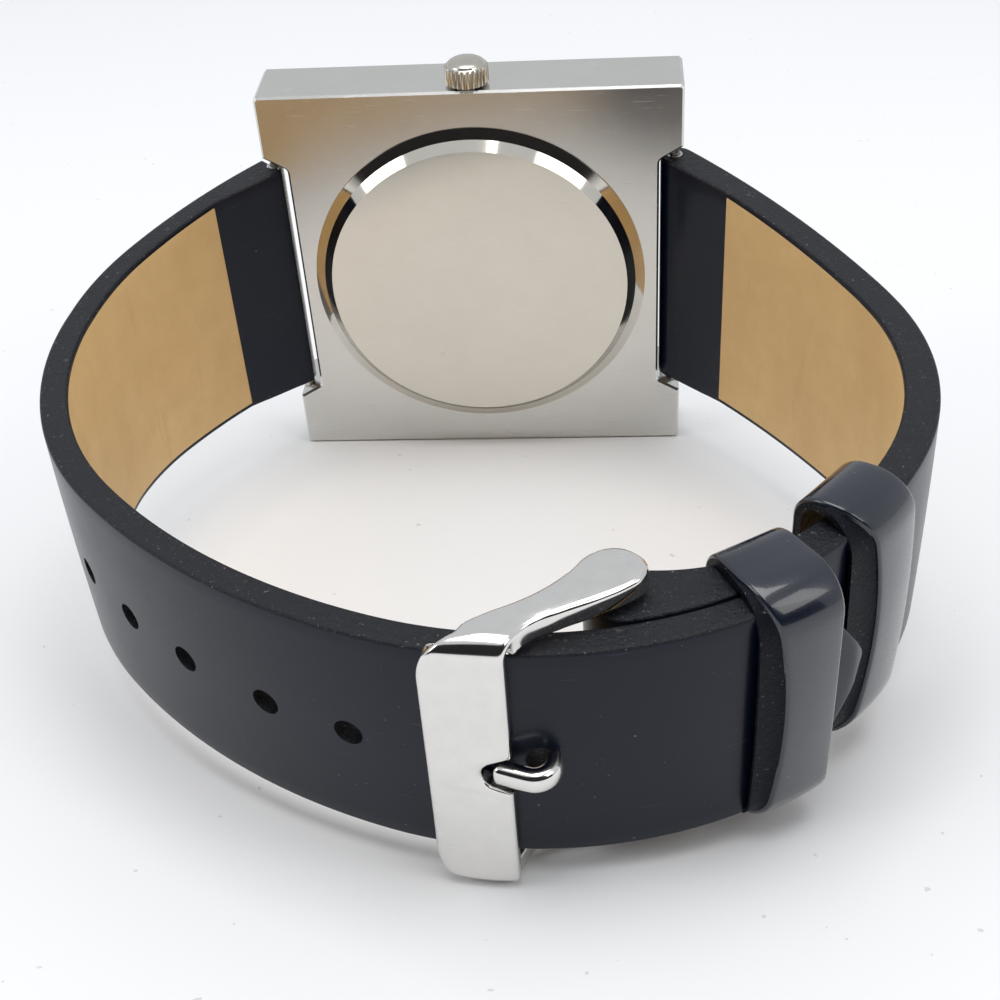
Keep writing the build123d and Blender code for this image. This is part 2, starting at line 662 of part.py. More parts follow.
# Hands as (name, front depth, bore, hub radius, tail, tip, width, turns made since twelve o'clock)
HANDS = [
    ("hour_hand", 1.30, 0.62, 1.1, -2.0, 7.4, 1.1, SHOWN_HOURS / HOURS_ROUND),
    ("minute_hand", 1.60, 0.33, 0.75, -2.4, 11.0, 0.8, SHOWN_HOURS),
    ("second_hand", 1.85, 0.13, 0.5, -3.4, 11.6, 0.25, SHOWN_HOURS * MINUTES_ROUND),
]
for name, front, bore, hub, tail, tip, width, turns in HANDS:
    angle = turns % 1 * FULL_TURN
    shoulder = tip - 2 * width
    with BuildPart() as hand:
        with BuildSketch(face_plane(front)):
            with BuildLine():
                Polyline(
                    polar(tip, angle),
                    polar(width / 2, angle + 90, polar(shoulder, angle)),
                    polar(width / 2, angle + 90, polar(tail, angle)),
                    polar(width / 2, angle - 90, polar(tail, angle)),
                    polar(width / 2, angle - 90, polar(shoulder, angle)),
                    close=True,
                )
            make_face()
            round_face(hub)
        extrude(amount=HAND_THICKNESS)
        discs(front, front - HAND_THICKNESS, bore, mode=Mode.SUBTRACT)
    finish(hand.part, name)

# Movement

with BuildPart() as movement_ring:
    flat_ring(PLATE_FRONT_Y, RING_BACK_Y, BACK_RIM_OUTER, PLATE_RADIUS + GASKET_PLAY)
    block(STEM_CHANNEL_FRONT_Y, THROUGH_Y, *RING_CHANNEL, mode=Mode.SUBTRACT)
finish(movement_ring.part, "movement_ring")

with BuildPart() as main_plate:
    discs(PLATE_FRONT_Y, PLATE_BACK_Y, PLATE_RADIUS)
    discs(ABOVE_Y, MOTION_FLOOR_Y, MOTION_POCKET_RADIUS, [MIDDLE_SPOT, MINUTE_SPOT], mode=Mode.SUBTRACT)
    discs(MINUTE_POST_FRONT_Y, MOTION_FLOOR_Y - ARBOR_PLAY, MINUTE_POST_RADIUS, [MINUTE_SPOT])
    discs(TRAIN_FLOOR_Y, THROUGH_Y, SECOND_POCKET_RADIUS, mode=Mode.SUBTRACT)
    discs(TRAIN_FLOOR_Y, THROUGH_Y, THIRD_POCKET_RADIUS, [THIRD_SPOT], mode=Mode.SUBTRACT)
    discs(TRAIN_FLOOR_Y, THROUGH_Y, INTERMEDIATE_POCKET_RADIUS, [INTERMEDIATE_SPOT], mode=Mode.SUBTRACT)
    block(TRAIN_FLOOR_Y, THROUGH_Y, *COIL_ROOM, mode=Mode.SUBTRACT)
    discs(BATTERY_ROOM_FRONT_Y, THROUGH_Y, BATTERY_RADIUS + PIVOT_HOLE, [BATTERY_SPOT], mode=Mode.SUBTRACT)
    block(QUARTZ_ROOM_FRONT_Y, THROUGH_Y, *QUARTZ_ROOM, QUARTZ_SPOT, mode=Mode.SUBTRACT)
    block(CLUTCH_ROOM_FRONT_Y, THROUGH_Y, *CLUTCH_ROOM, mode=Mode.SUBTRACT)
    block(STEM_CHANNEL_FRONT_Y, THROUGH_Y, *STEM_CHANNEL, mode=Mode.SUBTRACT)
    discs(ABOVE_Y, THROUGH_Y, CENTRE_HOLE_RADIUS, mode=Mode.SUBTRACT)
    outer_pivots = [THIRD_SPOT, INTERMEDIATE_SPOT, ROTOR_SPOT]
    discs(PIVOT_FLOOR_Y, THROUGH_Y, PIVOT_HOLE, outer_pivots, mode=Mode.SUBTRACT)
    discs(SCREW_FLOOR_Y, THROUGH_Y, SCREW_HOLE, SCREW_SPOTS, mode=Mode.SUBTRACT)
    discs(PLATE_BACK_Y, CLAMP_FRONT_Y + STEM_FIT, CLAMP_POST_RADIUS, CLAMP_SPOTS)
    discs(PLATE_BACK_Y, LEVER_POST_Y, LEVER_POST_RADIUS, [LEVER_SPOT, YOKE_SPOT])
finish(main_plate.part, "main_plate")

with BuildPart() as train_bridge:
    screw_pads = [(spot, 0.9) for spot in SCREW_SPOTS]
    hull_plate(PLATE_BACK_Y, BRIDGE_BACK_Y, screw_pads + [(ROTOR_SPOT, 1.2), (THIRD_SPOT, 1.0)])
    pivots = [MIDDLE_SPOT, THIRD_SPOT, INTERMEDIATE_SPOT, ROTOR_SPOT]
    discs(PLATE_BACK_Y, THROUGH_Y, PIVOT_HOLE, pivots, mode=Mode.SUBTRACT)
    discs(PLATE_BACK_Y, THROUGH_Y, SCREW_HOLE, SCREW_SPOTS, mode=Mode.SUBTRACT)
finish(train_bridge.part, "train_bridge")

with BuildPart() as bridge_screws:
    discs(BRIDGE_BACK_Y, SCREW_HEAD_BACK_Y, SCREW_HEAD_RADIUS, SCREW_SPOTS)
    discs(SCREW_FLOOR_Y, BRIDGE_BACK_Y, SCREW_RADIUS, SCREW_SPOTS)
    for spot in SCREW_SPOTS:
        block(SLOT_FLOOR_Y, THROUGH_Y, *SCREW_SLOT, spot, mode=Mode.SUBTRACT)
finish(bridge_screws.part, "bridge_screws")

with BuildPart() as setting_cover:
    cover_spots = (LEVER_SPOT, YOKE_SPOT, COVER_FOOT)
    hull_plate(LEVER_POST_Y, COVER_BACK_Y, [(spot, PAD_RADIUS) for spot in cover_spots])
finish(setting_cover.part, "setting_cover")

with BuildPart() as setting_lever:
    hull_plate(*LEVER_Y, [(LEVER_SPOT, 1.0), (LEVER_TIP, 0.35)])
    discs(*LEVER_STUD_Y, LEVER_STUD_RADIUS, [LEVER_TIP])
    discs(ABOVE_Y, THROUGH_Y, LEVER_BORE, [LEVER_SPOT], mode=Mode.SUBTRACT)
finish(setting_lever.part, "setting_lever")

with BuildPart() as yoke:
    discs(*YOKE_Y, 0.9, [YOKE_SPOT])
    hull_plate(*YOKE_Y, [(YOKE_SPOT, 0.6), (YOKE_TIP, 0.12)])
    discs(ABOVE_Y, THROUGH_Y, LEVER_BORE, [YOKE_SPOT], mode=Mode.SUBTRACT)
finish(yoke.part, "yoke")

CLUTCH_RADIUS = 0.9
CLUTCH_GROOVE_RADIUS = 0.6
CLUTCH_HEIGHTS = [MID_Z + 5.7, MID_Z + 6.1, MID_Z + 6.9, MID_Z + 7.2]
with BuildPart() as clutch_wheel:
    posts(*CLUTCH_HEIGHTS[0:2], CLUTCH_RADIUS, STEM_SPOTS)
    posts(*CLUTCH_HEIGHTS[1:3], CLUTCH_GROOVE_RADIUS, STEM_SPOTS)
    posts(*CLUTCH_HEIGHTS[2:4], CLUTCH_RADIUS, STEM_SPOTS)
    posts(CLUTCH_HEIGHTS[0], CLUTCH_HEIGHTS[3], STEM_RADIUS + GASKET_PLAY, STEM_SPOTS, Mode.SUBTRACT)
finish(clutch_wheel.part, "clutch_wheel")

with BuildPart() as battery:
    discs(BATTERY_FRONT_Y, BATTERY_STEP_Y, BATTERY_STEP_RADIUS, [BATTERY_SPOT])
    discs(BATTERY_STEP_Y, BATTERY_BACK_Y, BATTERY_RADIUS, [BATTERY_SPOT])
finish(battery.part, "battery")

with BuildPart() as battery_clamp:
    hull_plate(CLAMP_FRONT_Y, CLAMP_BACK_Y, [(spot, PAD_RADIUS) for spot in CLAMP_SPOTS])
finish(battery_clamp.part, "battery_clamp")

with BuildPart() as circuit_board:
    with BuildSketch(face_plane(PLATE_BACK_Y)):
        with BuildLine():
            Polyline(*BOARD_OUTLINE, close=True)
        make_face()
    extrude(amount=BOARD_THICKNESS)
finish(circuit_board.part, "circuit_board")

with BuildPart() as circuit_chip:
    chip_front = PLATE_BACK_Y - BOARD_THICKNESS
    block(chip_front, chip_front - CHIP_HEIGHT, CHIP_SIDE, CHIP_SIDE, CHIP_SPOT)
finish(circuit_chip.part, "circuit_chip")

with BuildPart() as quartz_can:
    quartz_z = MID_Z + QUARTZ_SPOT[1]
    posts(quartz_z - QUARTZ_HALF, quartz_z + QUARTZ_HALF, QUARTZ_RADIUS, [(QUARTZ_SPOT[0], COIL_Y)])
finish(quartz_can.part, "quartz_can")

with BuildPart() as stator:
    block(STATOR_FRONT_Y, STATOR_BACK_Y, *STATOR_SIZE)
    for end in (-STATOR_LEG_REACH, STATOR_LEG_REACH):
        block(STATOR_FRONT_Y, STATOR_BACK_Y, *STATOR_LEG, (STATOR_LEG_X, end))
    discs(ABOVE_Y, THROUGH_Y, STATOR_ROTOR_HOLE, [ROTOR_SPOT], mode=Mode.SUBTRACT)
    discs(ABOVE_Y, THROUGH_Y, STATOR_WHEEL_HOLE, [INTERMEDIATE_SPOT], mode=Mode.SUBTRACT)
finish(stator.part, "stator")

with BuildPart() as coil_core:
    block(STATOR_BACK_Y, CORE_BACK_Y, CORE_WIDTH, CORE_LENGTH, (COIL_X, 0))
finish(coil_core.part, "coil_core")

with BuildPart() as coil_winding:
    posts(MID_Z - COIL_HALF, MID_Z + COIL_HALF, COIL_RADIUS, [(COIL_X, COIL_Y)])
    bore = (CORE_WIDTH + 2 * GLUE_GAP, 2 * COIL_HALF, (COIL_X, 0))
    block(STATOR_BACK_Y + GLUE_GAP, CORE_BACK_Y - GLUE_GAP, *bore, mode=Mode.SUBTRACT)
finish(coil_winding.part, "coil_winding")

# Wheels: each pair's teeth are set so that a tooth of the wheel faces a gap of the pinion

SECOND_RADIUS, INTERMEDIATE_PINION = pair_radii(CENTRE_DISTANCE, SECOND_TEETH, PINION_TEETH)
THIRD_RADIUS, SECOND_PINION = pair_radii(CENTRE_DISTANCE, THIRD_TEETH, PINION_TEETH)
CENTRE_RADIUS, THIRD_PINION = pair_radii(CENTRE_DISTANCE, CENTRE_TEETH, PINION_TEETH)
INTERMEDIATE_RADIUS, ROTOR_PINION = pair_radii(ROTOR_DISTANCE, INTERMEDIATE_TEETH, PINION_TEETH)
MINUTE_RADIUS, CANNON_RADIUS = pair_radii(MOTION_DISTANCE, MINUTE_TEETH, CANNON_TEETH)
HOUR_RADIUS, MINUTE_PINION = pair_radii(MOTION_DISTANCE, HOUR_TEETH, MINUTE_PINION_TEETH)
HALF_TURN = FULL_TURN / 2
HALF_PITCH = HALF_TURN / PINION_TEETH
CANNON_HALF_PITCH = HALF_TURN / CANNON_TEETH
MINUTE_HALF_PITCH = HALF_TURN / MINUTE_PINION_TEETH

with BuildPart() as rotor:
    arbor(ROTOR_SPOT)
    discs(*MAGNET_Y, MAGNET_RADIUS, [ROTOR_SPOT])
    gear(ROTOR_LEVEL + PINION_LIFT, 0.2, PINION_TEETH, ROTOR_PINION, ROTOR_SPOT,
         ROTOR_ANGLE + HALF_TURN + HALF_PITCH)
finish(rotor.part, "rotor")

with BuildPart() as intermediate_wheel:
    arbor(INTERMEDIATE_SPOT)
    gear(ROTOR_LEVEL, WHEEL_THICKNESS, INTERMEDIATE_TEETH, INTERMEDIATE_RADIUS, INTERMEDIATE_SPOT,
         ROTOR_ANGLE)
    gear(SECOND_LEVEL + PINION_LIFT, 0.25, PINION_TEETH, INTERMEDIATE_PINION, INTERMEDIATE_SPOT,
         INTERMEDIATE_ANGLE + HALF_TURN + HALF_PITCH)
finish(intermediate_wheel.part, "intermediate_wheel")

with BuildPart() as second_wheel:
    discs(1.88, PLATE_BACK_Y + ARBOR_PLAY, ARBOR_RADIUS)
    discs(SECOND_LEVEL, BRIDGE_BACK_Y + PIVOT_HOLE, PIVOT_RADIUS)
    gear(SECOND_LEVEL, WHEEL_THICKNESS, SECOND_TEETH, SECOND_RADIUS, MIDDLE_SPOT, INTERMEDIATE_ANGLE)
    gear(THIRD_LEVEL + PINION_LIFT, 0.45, PINION_TEETH, SECOND_PINION, MIDDLE_SPOT, THIRD_ANGLE + HALF_PITCH)
finish(second_wheel.part, "second_wheel")

with BuildPart() as third_wheel:
    arbor(THIRD_SPOT)
    gear(THIRD_LEVEL, WHEEL_THICKNESS, THIRD_TEETH, THIRD_RADIUS, THIRD_SPOT, THIRD_ANGLE + HALF_TURN)
    gear(CENTRE_LEVEL + PINION_LIFT, 0.4, PINION_TEETH, THIRD_PINION, THIRD_SPOT,
         THIRD_ANGLE + HALF_TURN + HALF_PITCH)
finish(third_wheel.part, "third_wheel")

with BuildPart() as centre_wheel:
    discs(1.62, -0.95, 0.32)
    gear(CENTRE_LEVEL, WHEEL_THICKNESS, CENTRE_TEETH, CENTRE_RADIUS, MIDDLE_SPOT, THIRD_ANGLE)
    gear(0.08, 0.23, CANNON_TEETH, CANNON_RADIUS, MIDDLE_SPOT, MINUTE_ANGLE + CANNON_HALF_PITCH)
    discs(FRONT_Y, THROUGH_Y, 0.17, mode=Mode.SUBTRACT)
finish(centre_wheel.part, "centre_wheel")

with BuildPart() as minute_wheel:
    gear(0.0, WHEEL_THICKNESS, MINUTE_TEETH, MINUTE_RADIUS, MINUTE_SPOT, MINUTE_ANGLE + HALF_TURN)
    gear(0.35, 0.35, MINUTE_PINION_TEETH, MINUTE_PINION, MINUTE_SPOT,
         MINUTE_ANGLE + HALF_TURN + MINUTE_HALF_PITCH)
    discs(ABOVE_Y, THROUGH_Y, 0.30, [MINUTE_SPOT], mode=Mode.SUBTRACT)
finish(minute_wheel.part, "minute_wheel")

with BuildPart() as hour_wheel:
    discs(1.32, 0.12, 0.6)
    gear(0.27, WHEEL_THICKNESS, HOUR_TEETH, HOUR_RADIUS, MIDDLE_SPOT, MINUTE_ANGLE)
    discs(FRONT_Y, THROUGH_Y, 0.36, mode=Mode.SUBTRACT)
finish(hour_wheel.part, "hour_wheel")

# Spring bars: tubes with a pin in each end

with BuildPart() as lug_bar_tubes:
    posts(MID_Z - LUG_BAR_HALF, MID_Z + LUG_BAR_HALF, BAR_RADIUS, LUG_BAR_SPOTS)
    posts(MID_Z - LUG_BAR_HALF, MID_Z + LUG_BAR_HALF, BAR_BORE, LUG_BAR_SPOTS, Mode.SUBTRACT)
finish(lug_bar_tubes.part, "lug_bar_tubes")

with BuildPart() as buckle_bar_tube:
    posts(MID_Z - BUCKLE_BAR_HALF, MID_Z + BUCKLE_BAR_HALF, BAR_RADIUS, BUCKLE_BAR_SPOTS)
    posts(MID_Z - BUCKLE_BAR_HALF, MID_Z + BUCKLE_BAR_HALF, BAR_BORE, BUCKLE_BAR_SPOTS, Mode.SUBTRACT)
finish(buckle_bar_tube.part, "buckle_bar_tube")

PINS = [
    ("lug_pin_right", LUG_BAR_SPOTS[:1], LUG_BAR_HALF, LUG_PIN_TIP),
    ("lug_pin_left", LUG_BAR_SPOTS[1:], LUG_BAR_HALF, LUG_PIN_TIP),
    ("buckle_pin", BUCKLE_BAR_SPOTS, BUCKLE_BAR_HALF, BUCKLE_PIN_TIP),
]
for name, spots, bar_half, tip in PINS:
    with BuildPart() as top_pin:
        posts(MID_Z + bar_half - PIN_INSIDE, MID_Z + tip, PIN_RADIUS, spots)
        chamfer(faces().sort_by(Axis.Z)[-1].edges(), length=PIN_POINT)
    finish(top_pin.part, name + "_top")
    with BuildPart() as bottom_pin:
        posts(MID_Z - tip, MID_Z - bar_half + PIN_INSIDE, PIN_RADIUS, spots)
        chamfer(faces().sort_by(Axis.Z)[0].edges(), length=PIN_POINT)
    finish(bottom_pin.part, name + "_bottom")

# Long strap: black leather with a lining glued into its inner face, from the tip to the case

with BuildPart() as strap_long_leather:
    with BuildSketch():
        with BuildLine():
            start, heading = long_start()
            lug_face = draw_face(start, heading, -1, LONG_ARCS, 0)
            lining_face = draw_face(start, heading, -1, LONG_LINED_ARCS, LONG_LEATHER)
            inner_point = lining_face[1] + inward(lining_face[2], -1) * LONG_THICKNESS
            Line(lining_face[0], inner_point)
            draw_lug_end(lug_face[1], lug_face[2], -1, inner_point)
            Line(start, start + inward(heading, -1) * LONG_LEATHER)
        make_face()
    extrude(amount=CASE_SIDE)
    trim_to_width()
    posts(0, CASE_SIDE, LEATHER_BORE, LUG_BAR_SPOTS[1:], Mode.SUBTRACT)
    cut_pointed_tip()
    cut_strap_holes(LEATHER_HOLE_SIDES)
finish(strap_long_leather.part, "strap_long_leather")

with BuildPart() as strap_long_lining:
    with BuildSketch():
        with BuildLine():
            start, heading = long_start()
            towards_wrist = inward(heading, -1)
            near = draw_face(start, heading, -1, LONG_LINED_ARCS, LONG_LEATHER + GLUE_GAP)
            far = draw_face(start, heading, -1, LONG_LINED_ARCS, LONG_THICKNESS)
            Line(near[0], far[0])
            Line(start + towards_wrist * (LONG_LEATHER + GLUE_GAP), start + towards_wrist * LONG_THICKNESS)
        make_face()
    extrude(amount=CASE_SIDE)
    trim_to_width()
    cut_pointed_tip()
    cut_strap_holes(LINING_HOLE_SIDES)
finish(strap_long_lining.part, "strap_long_lining")

# Short strap: the leather folds round the buckle's bar and is glued down as a wedge

WEDGE_START = loop_point(SHORT_RADIUS, WEDGE_POLAR)
WEDGE_HEADING = WEDGE_POLAR + 90
WEDGE_INWARD = inward(WEDGE_HEADING, 1)
SHORT_FROM_WEDGE = [(SHORT_RADIUS, SHORT_ROUND_END - WEDGE_POLAR)] + SHORT_LINED_ARCS
SHORT_ARCS = [(SHORT_RADIUS, SHORT_ROUND_END - FOLD_POLAR)] + SHORT_LINED_ARCS + [SHORT_LUG_ARC]


def draw_fold():
    """Draw the fold about the buckle bar and the thickening inner face that leads to it."""
    wedge = WEDGE_START + WEDGE_INWARD * SHORT_THICKNESS
    gap = wedge - BUCKLE_BAR
    radius = (gap.dot(gap) - FOLD_RADIUS ** 2) / (2 * (FOLD_RADIUS - gap.dot(WEDGE_INWARD)))
    centre = wedge + WEDGE_INWARD * radius
    touch = BUCKLE_BAR + (centre - BUCKLE_BAR).normalized() * FOLD_RADIUS
    middle = centre - (centre - (touch + wedge) * 0.5).normalized() * radius
    ThreePointArc(wedge, middle, touch)
    fold_front = BUCKLE_BAR + inward(FOLD_POLAR + 180, 1) * FOLD_RADIUS
    ThreePointArc(touch, fold_front, loop_point(SHORT_RADIUS, FOLD_POLAR))


with BuildPart() as strap_short_leather:
    with BuildSketch():
        with BuildLine():
            lug_face = draw_face(loop_point(SHORT_RADIUS, FOLD_POLAR), FOLD_POLAR + 90, 1, SHORT_ARCS, 0)
            lining_face = draw_face(WEDGE_START, WEDGE_HEADING, 1, SHORT_FROM_WEDGE, SHORT_LEATHER)
            inner_point = lining_face[1] + inward(lining_face[2], 1) * SHORT_THICKNESS
            Line(lining_face[0], inner_point)
            draw_lug_end(lug_face[1], lug_face[2], 1, inner_point)
            Line(WEDGE_START + WEDGE_INWARD * SHORT_LEATHER, WEDGE_START + WEDGE_INWARD * SHORT_THICKNESS)
            draw_fold()
        make_face()
    extrude(amount=CASE_SIDE)
    trim_to_width()
    posts(0, CASE_SIDE, LEATHER_BORE, LUG_BAR_SPOTS[:1] + BUCKLE_BAR_SPOTS, Mode.SUBTRACT)
    with BuildSketch(Plane.XY.offset(MID_Z - TANG_SLOT_HALF)):
        with Locations((BUCKLE_BAR.X - SLOT_SHIFT, BUCKLE_BAR.Y)):
            Rectangle(SLOT_LENGTH, SLOT_DEPTH)
    extrude(amount=2 * TANG_SLOT_HALF, mode=Mode.SUBTRACT)
finish(strap_short_leather.part, "strap_short_leather")

with BuildPart() as strap_short_lining:
    with BuildSketch():
        with BuildLine():
            near = draw_face(WEDGE_START, WEDGE_HEADING, 1, SHORT_FROM_WEDGE, SHORT_LEATHER + GLUE_GAP)
            far = draw_face(WEDGE_START, WEDGE_HEADING, 1, SHORT_FROM_WEDGE, SHORT_THICKNESS)
            Line(near[0], far[0])
            glued_corner = WEDGE_START + WEDGE_INWARD * (SHORT_LEATHER + GLUE_GAP)
            Line(glued_corner, WEDGE_START + WEDGE_INWARD * SHORT_THICKNESS)
        make_face()
    extrude(amount=CASE_SIDE)
    trim_to_width()
finish(strap_short_lining.part, "strap_short_lining")

# Keepers: leather bands round both straps

KEEPERS = [
    ("fixed_keeper", FIXED_KEEPER_SPAN, FIXED_KEEPER_BAND, FIXED_KEEPER_HOLE),
    ("free_keeper", FREE_KEEPER_SPAN, FREE_KEEPER_BAND, FREE_KEEPER_HOLE),
]
for name, span, band, hole in KEEPERS:
    with BuildPart() as keeper:
        ring_sector(band, span, KEEPER_HALF_OUTSIDE)
        chamfer(faces().sort_by(Axis.Z)[-1].edges(), length=KEEPER_EDGE_CUT)
        chamfer(faces().sort_by(Axis.Z)[0].edges(), length=KEEPER_EDGE_CUT)
        ring_sector(hole, span, KEEPER_HALF_INSIDE, Mode.SUBTRACT)
    finish(keeper.part, name)

# Buckle: a curved front plate, bent at both ends into flared arms that carry the bar

with BuildPart() as buckle_frame:
    ring_sector((PLATE_OUTER, PLATE_INNER), PLATE_SPAN, BUCKLE_HALF_HEIGHT)
    for arm_z in (MID_Z - BUCKLE_HALF_HEIGHT, MID_Z + BUCKLE_HALF_HEIGHT - ARM_THICKNESS):
        with BuildSketch(Plane.XY.offset(arm_z)):
            with BuildLine():
                Spline(*ARM_WRIST_SIDE)
                Spline(*ARM_END)
                Spline(*ARM_OUTER_SIDE)
                Polyline(ARM_OUTER_SIDE[-1], ARM_ROOT, ARM_WRIST_SIDE[0])
            make_face()
        extrude(amount=ARM_THICKNESS)
    plate_outwards = loop_point(1, sum(PLATE_SPAN) / 2) - LOOP_CENTRE
    plate_along = plate_outwards.rotate(Axis.Z, 90)
    bend_plane = Plane(origin=(LOOP_CENTRE.X, LOOP_CENTRE.Y, MID_Z), x_dir=plate_outwards, z_dir=plate_along)
    with BuildSketch(bend_plane):
        with Locations((PLATE_OUTER / 2, 0)):
            RectangleRounded(PLATE_OUTER, 2 * BUCKLE_HALF_HEIGHT, BEND_RADIUS)
    extrude(amount=CASE_SIDE, both=True, mode=Mode.INTERSECT)
    plate_left = loop_point(PLATE_OUTER, PLATE_SPAN[0]).X
    with BuildSketch(Plane.XZ.offset(-BUCKLE_BAR.Y)):
        with Locations((plate_left + CASE_SIDE / 2, MID_Z)):
            RectangleRounded(CASE_SIDE, 2 * BUCKLE_HALF_HEIGHT, PLATE_CORNER)
    extrude(amount=CASE_SIDE, both=True, mode=Mode.INTERSECT)
    with BuildSketch(Plane.XZ.offset(-BUCKLE_BAR.Y)):
        with Locations((NOTCH_X, MID_Z)):
            SlotOverall(NOTCH_LENGTH, 2 * NOTCH_HALF)
    extrude(amount=CASE_SIDE, mode=Mode.SUBTRACT)
    posts(MID_Z - BUCKLE_HOLE_END, MID_Z + BUCKLE_HOLE_END, PIN_HOLE_RADIUS, BUCKLE_BAR_SPOTS, Mode.SUBTRACT)
finish(buckle_frame.part, "buckle_frame")

with BuildPart() as tang:
    with BuildLine(Plane.XY.offset(MID_Z)) as tang_line:
        FilletPolyline(*TANG_ROUTE, radius=TANG_BEND)
    with BuildSketch(Plane(origin=tang_line.line @ 0, x_dir=(0, 0, 1), z_dir=tang_line.line % 0)):
        Rectangle(TANG_WIDTH, TANG_THICKNESS)
    sweep()
    posts(MID_Z - TANG_WIDTH / 2, MID_Z + TANG_WIDTH / 2, TANG_RING_RADIUS, BUCKLE_BAR_SPOTS)
    posts(MID_Z - TANG_WIDTH, MID_Z + TANG_WIDTH, LEATHER_BORE, BUCKLE_BAR_SPOTS, Mode.SUBTRACT)
finish(tang.part, "tang")
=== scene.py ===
import math
import bmesh
import bpy
from mathutils import Matrix, Vector


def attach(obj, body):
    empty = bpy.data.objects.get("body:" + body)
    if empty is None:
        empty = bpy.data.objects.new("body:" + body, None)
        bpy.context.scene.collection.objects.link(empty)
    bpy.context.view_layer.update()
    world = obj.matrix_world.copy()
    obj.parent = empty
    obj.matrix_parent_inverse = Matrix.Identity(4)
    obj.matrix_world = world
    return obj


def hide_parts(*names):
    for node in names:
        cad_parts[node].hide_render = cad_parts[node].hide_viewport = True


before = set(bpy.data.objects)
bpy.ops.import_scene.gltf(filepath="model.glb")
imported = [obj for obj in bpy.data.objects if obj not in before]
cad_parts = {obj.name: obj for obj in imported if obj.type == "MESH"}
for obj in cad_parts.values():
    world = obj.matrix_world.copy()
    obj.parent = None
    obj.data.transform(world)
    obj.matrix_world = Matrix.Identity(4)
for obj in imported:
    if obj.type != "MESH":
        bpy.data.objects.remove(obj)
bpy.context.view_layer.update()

# Table sheet: one pale sheet that leans a little, because the watch stands on the edge of its case and on
# the lower edge of its buckle.
MM = 0.001
UP = Vector((0, 0, 1))
MERGE_DISTANCE = 0.0005
BACK_Y = -3.4
BUCKLE_LOW = Vector((3.0, -66.0, 7.5))
SHEET_COLOUR = (0.86, 0.865, 0.875, 1)
SHEET_CLOUD = (0.845, 0.85, 0.855, 1)
DUST_COLOUR = (0.35, 0.33, 0.30, 1)
DUST_STRENGTH = 0.35
SHEET_HALF = 1500.0
SHEET_FRONT_Y = -1200.0
SHEET_BACK_Y = 1500.0


class Wire:
    """One output of a shader node; arithmetic on it adds Math nodes."""

    def __init__(self, tree, socket):
        self.tree = tree
        self.socket = socket

    def put(self, kind, settings=None, inputs=None, output=0):
        """Add any other node; settings are set first, then the values or links of its sockets."""
        node = self.tree.nodes.new(kind)
        for name, value in (settings or {}).items():
            setattr(node, name, value)
        for name, value in (inputs or {}).items():
            if isinstance(value, Wire):
                self.tree.links.new(value.socket, node.inputs[name])
            else:
                node.inputs[name].default_value = value
        return Wire(self.tree, node.outputs[output])

    def maths(self, operation, *values):
        """Add a Math node on this wire or number and others."""
        return self.put("ShaderNodeMath", {"operation": operation}, dict(enumerate(values)))

    def __add__(self, other):
        return self.maths("ADD", self, other)

    def __radd__(self, other):
        return self.maths("ADD", other, self)

    def __sub__(self, other):
        return self.maths("SUBTRACT", self, other)

    def __rsub__(self, other):
        return self.maths("SUBTRACT", other, self)

    def __mul__(self, other):
        return self.maths("MULTIPLY", self, other)

    def noise(self, scale, detail=2.0, roughness=0.5):
        """Noise on this vector, at a scale in cycles per metre."""
        return self.put("ShaderNodeTexNoise", None,
                        {"Vector": self, "Scale": scale, "Detail": detail, "Roughness": roughness})

    def stretch(self, scale, turn=(0, 0, 0)):
        """This vector turned and scaled by axis."""
        return self.put("ShaderNodeMapping", None, {"Vector": self, "Scale": scale, "Rotation": turn})

    def scratches(self, across, along, turn, low, high):
        """Straight scratches on this vector, fine along one axis that is turned by three angles."""
        return self.stretch((across, across, along), turn).noise(1.0, 2.0).step(low, high)

    def part(self, axis):
        """One coordinate of this vector."""
        return self.put("ShaderNodeSeparateXYZ", None, {"Vector": self}, output=axis)

    def blend(self, first, second):
        """Mix two colours by this value."""
        return self.put("ShaderNodeMix", {"data_type": "RGBA"},
                        {"Factor": self, 6: first, 7: second}, output=2)

    def step(self, low, high):
        """Smooth step of this value from 0 at low to 1 at high."""
        return self.put("ShaderNodeMapRange", {"interpolation_type": "SMOOTHSTEP"},
                        {"Value": self, "From Min": low, "From Max": high})

    def bump(self, strength, distance, normal=None):
        """Bump from this height."""
        inputs = {"Height": self, "Strength": strength, "Distance": distance}
        if normal:
            inputs["Normal"] = normal
        return self.put("ShaderNodeBump", None, inputs)


def new_finish(name, **plain):
    """A material with one Principled shader and plain values on its sockets, and its object coordinates."""
    finish = bpy.data.materials.new(name)
    finish.use_nodes = True
    shader = finish.node_tree.nodes["Principled BSDF"]
    for socket, value in plain.items():
        shader.inputs[socket.replace("_", " ")].default_value = value
    wire = Wire(finish.node_tree, None)
    spot = wire.put("ShaderNodeTexCoord", output=3)
    return finish, shader, spot


def connect(shader, **wires):
    """Link wires to the shader's sockets."""
    for socket, wire in wires.items():
        wire.tree.links.new(wire.socket, shader.inputs[socket.replace("_", " ")])


def new_object(name, data):
    """A new object in the scene, holding a mesh, a curve, a lamp or a camera."""
    holder = bpy.data.objects.new(name, data)
    bpy.context.collection.objects.link(holder)
    return holder


def mesh_piece(name, points, faces, materials):
    """A new object from points in millimetres and faces, with its place in its mesh."""
    mesh = bpy.data.meshes.new(name)
    mesh.from_pydata([Vector(point) * MM for point in points], [], faces)
    for material in materials:
        mesh.materials.append(material)
    return new_object(name, mesh)


def settled_mesh(piece):
    """The mesh of a piece with its modifiers applied."""
    return bpy.data.meshes.new_from_object(piece.evaluated_get(bpy.context.evaluated_depsgraph_get()))


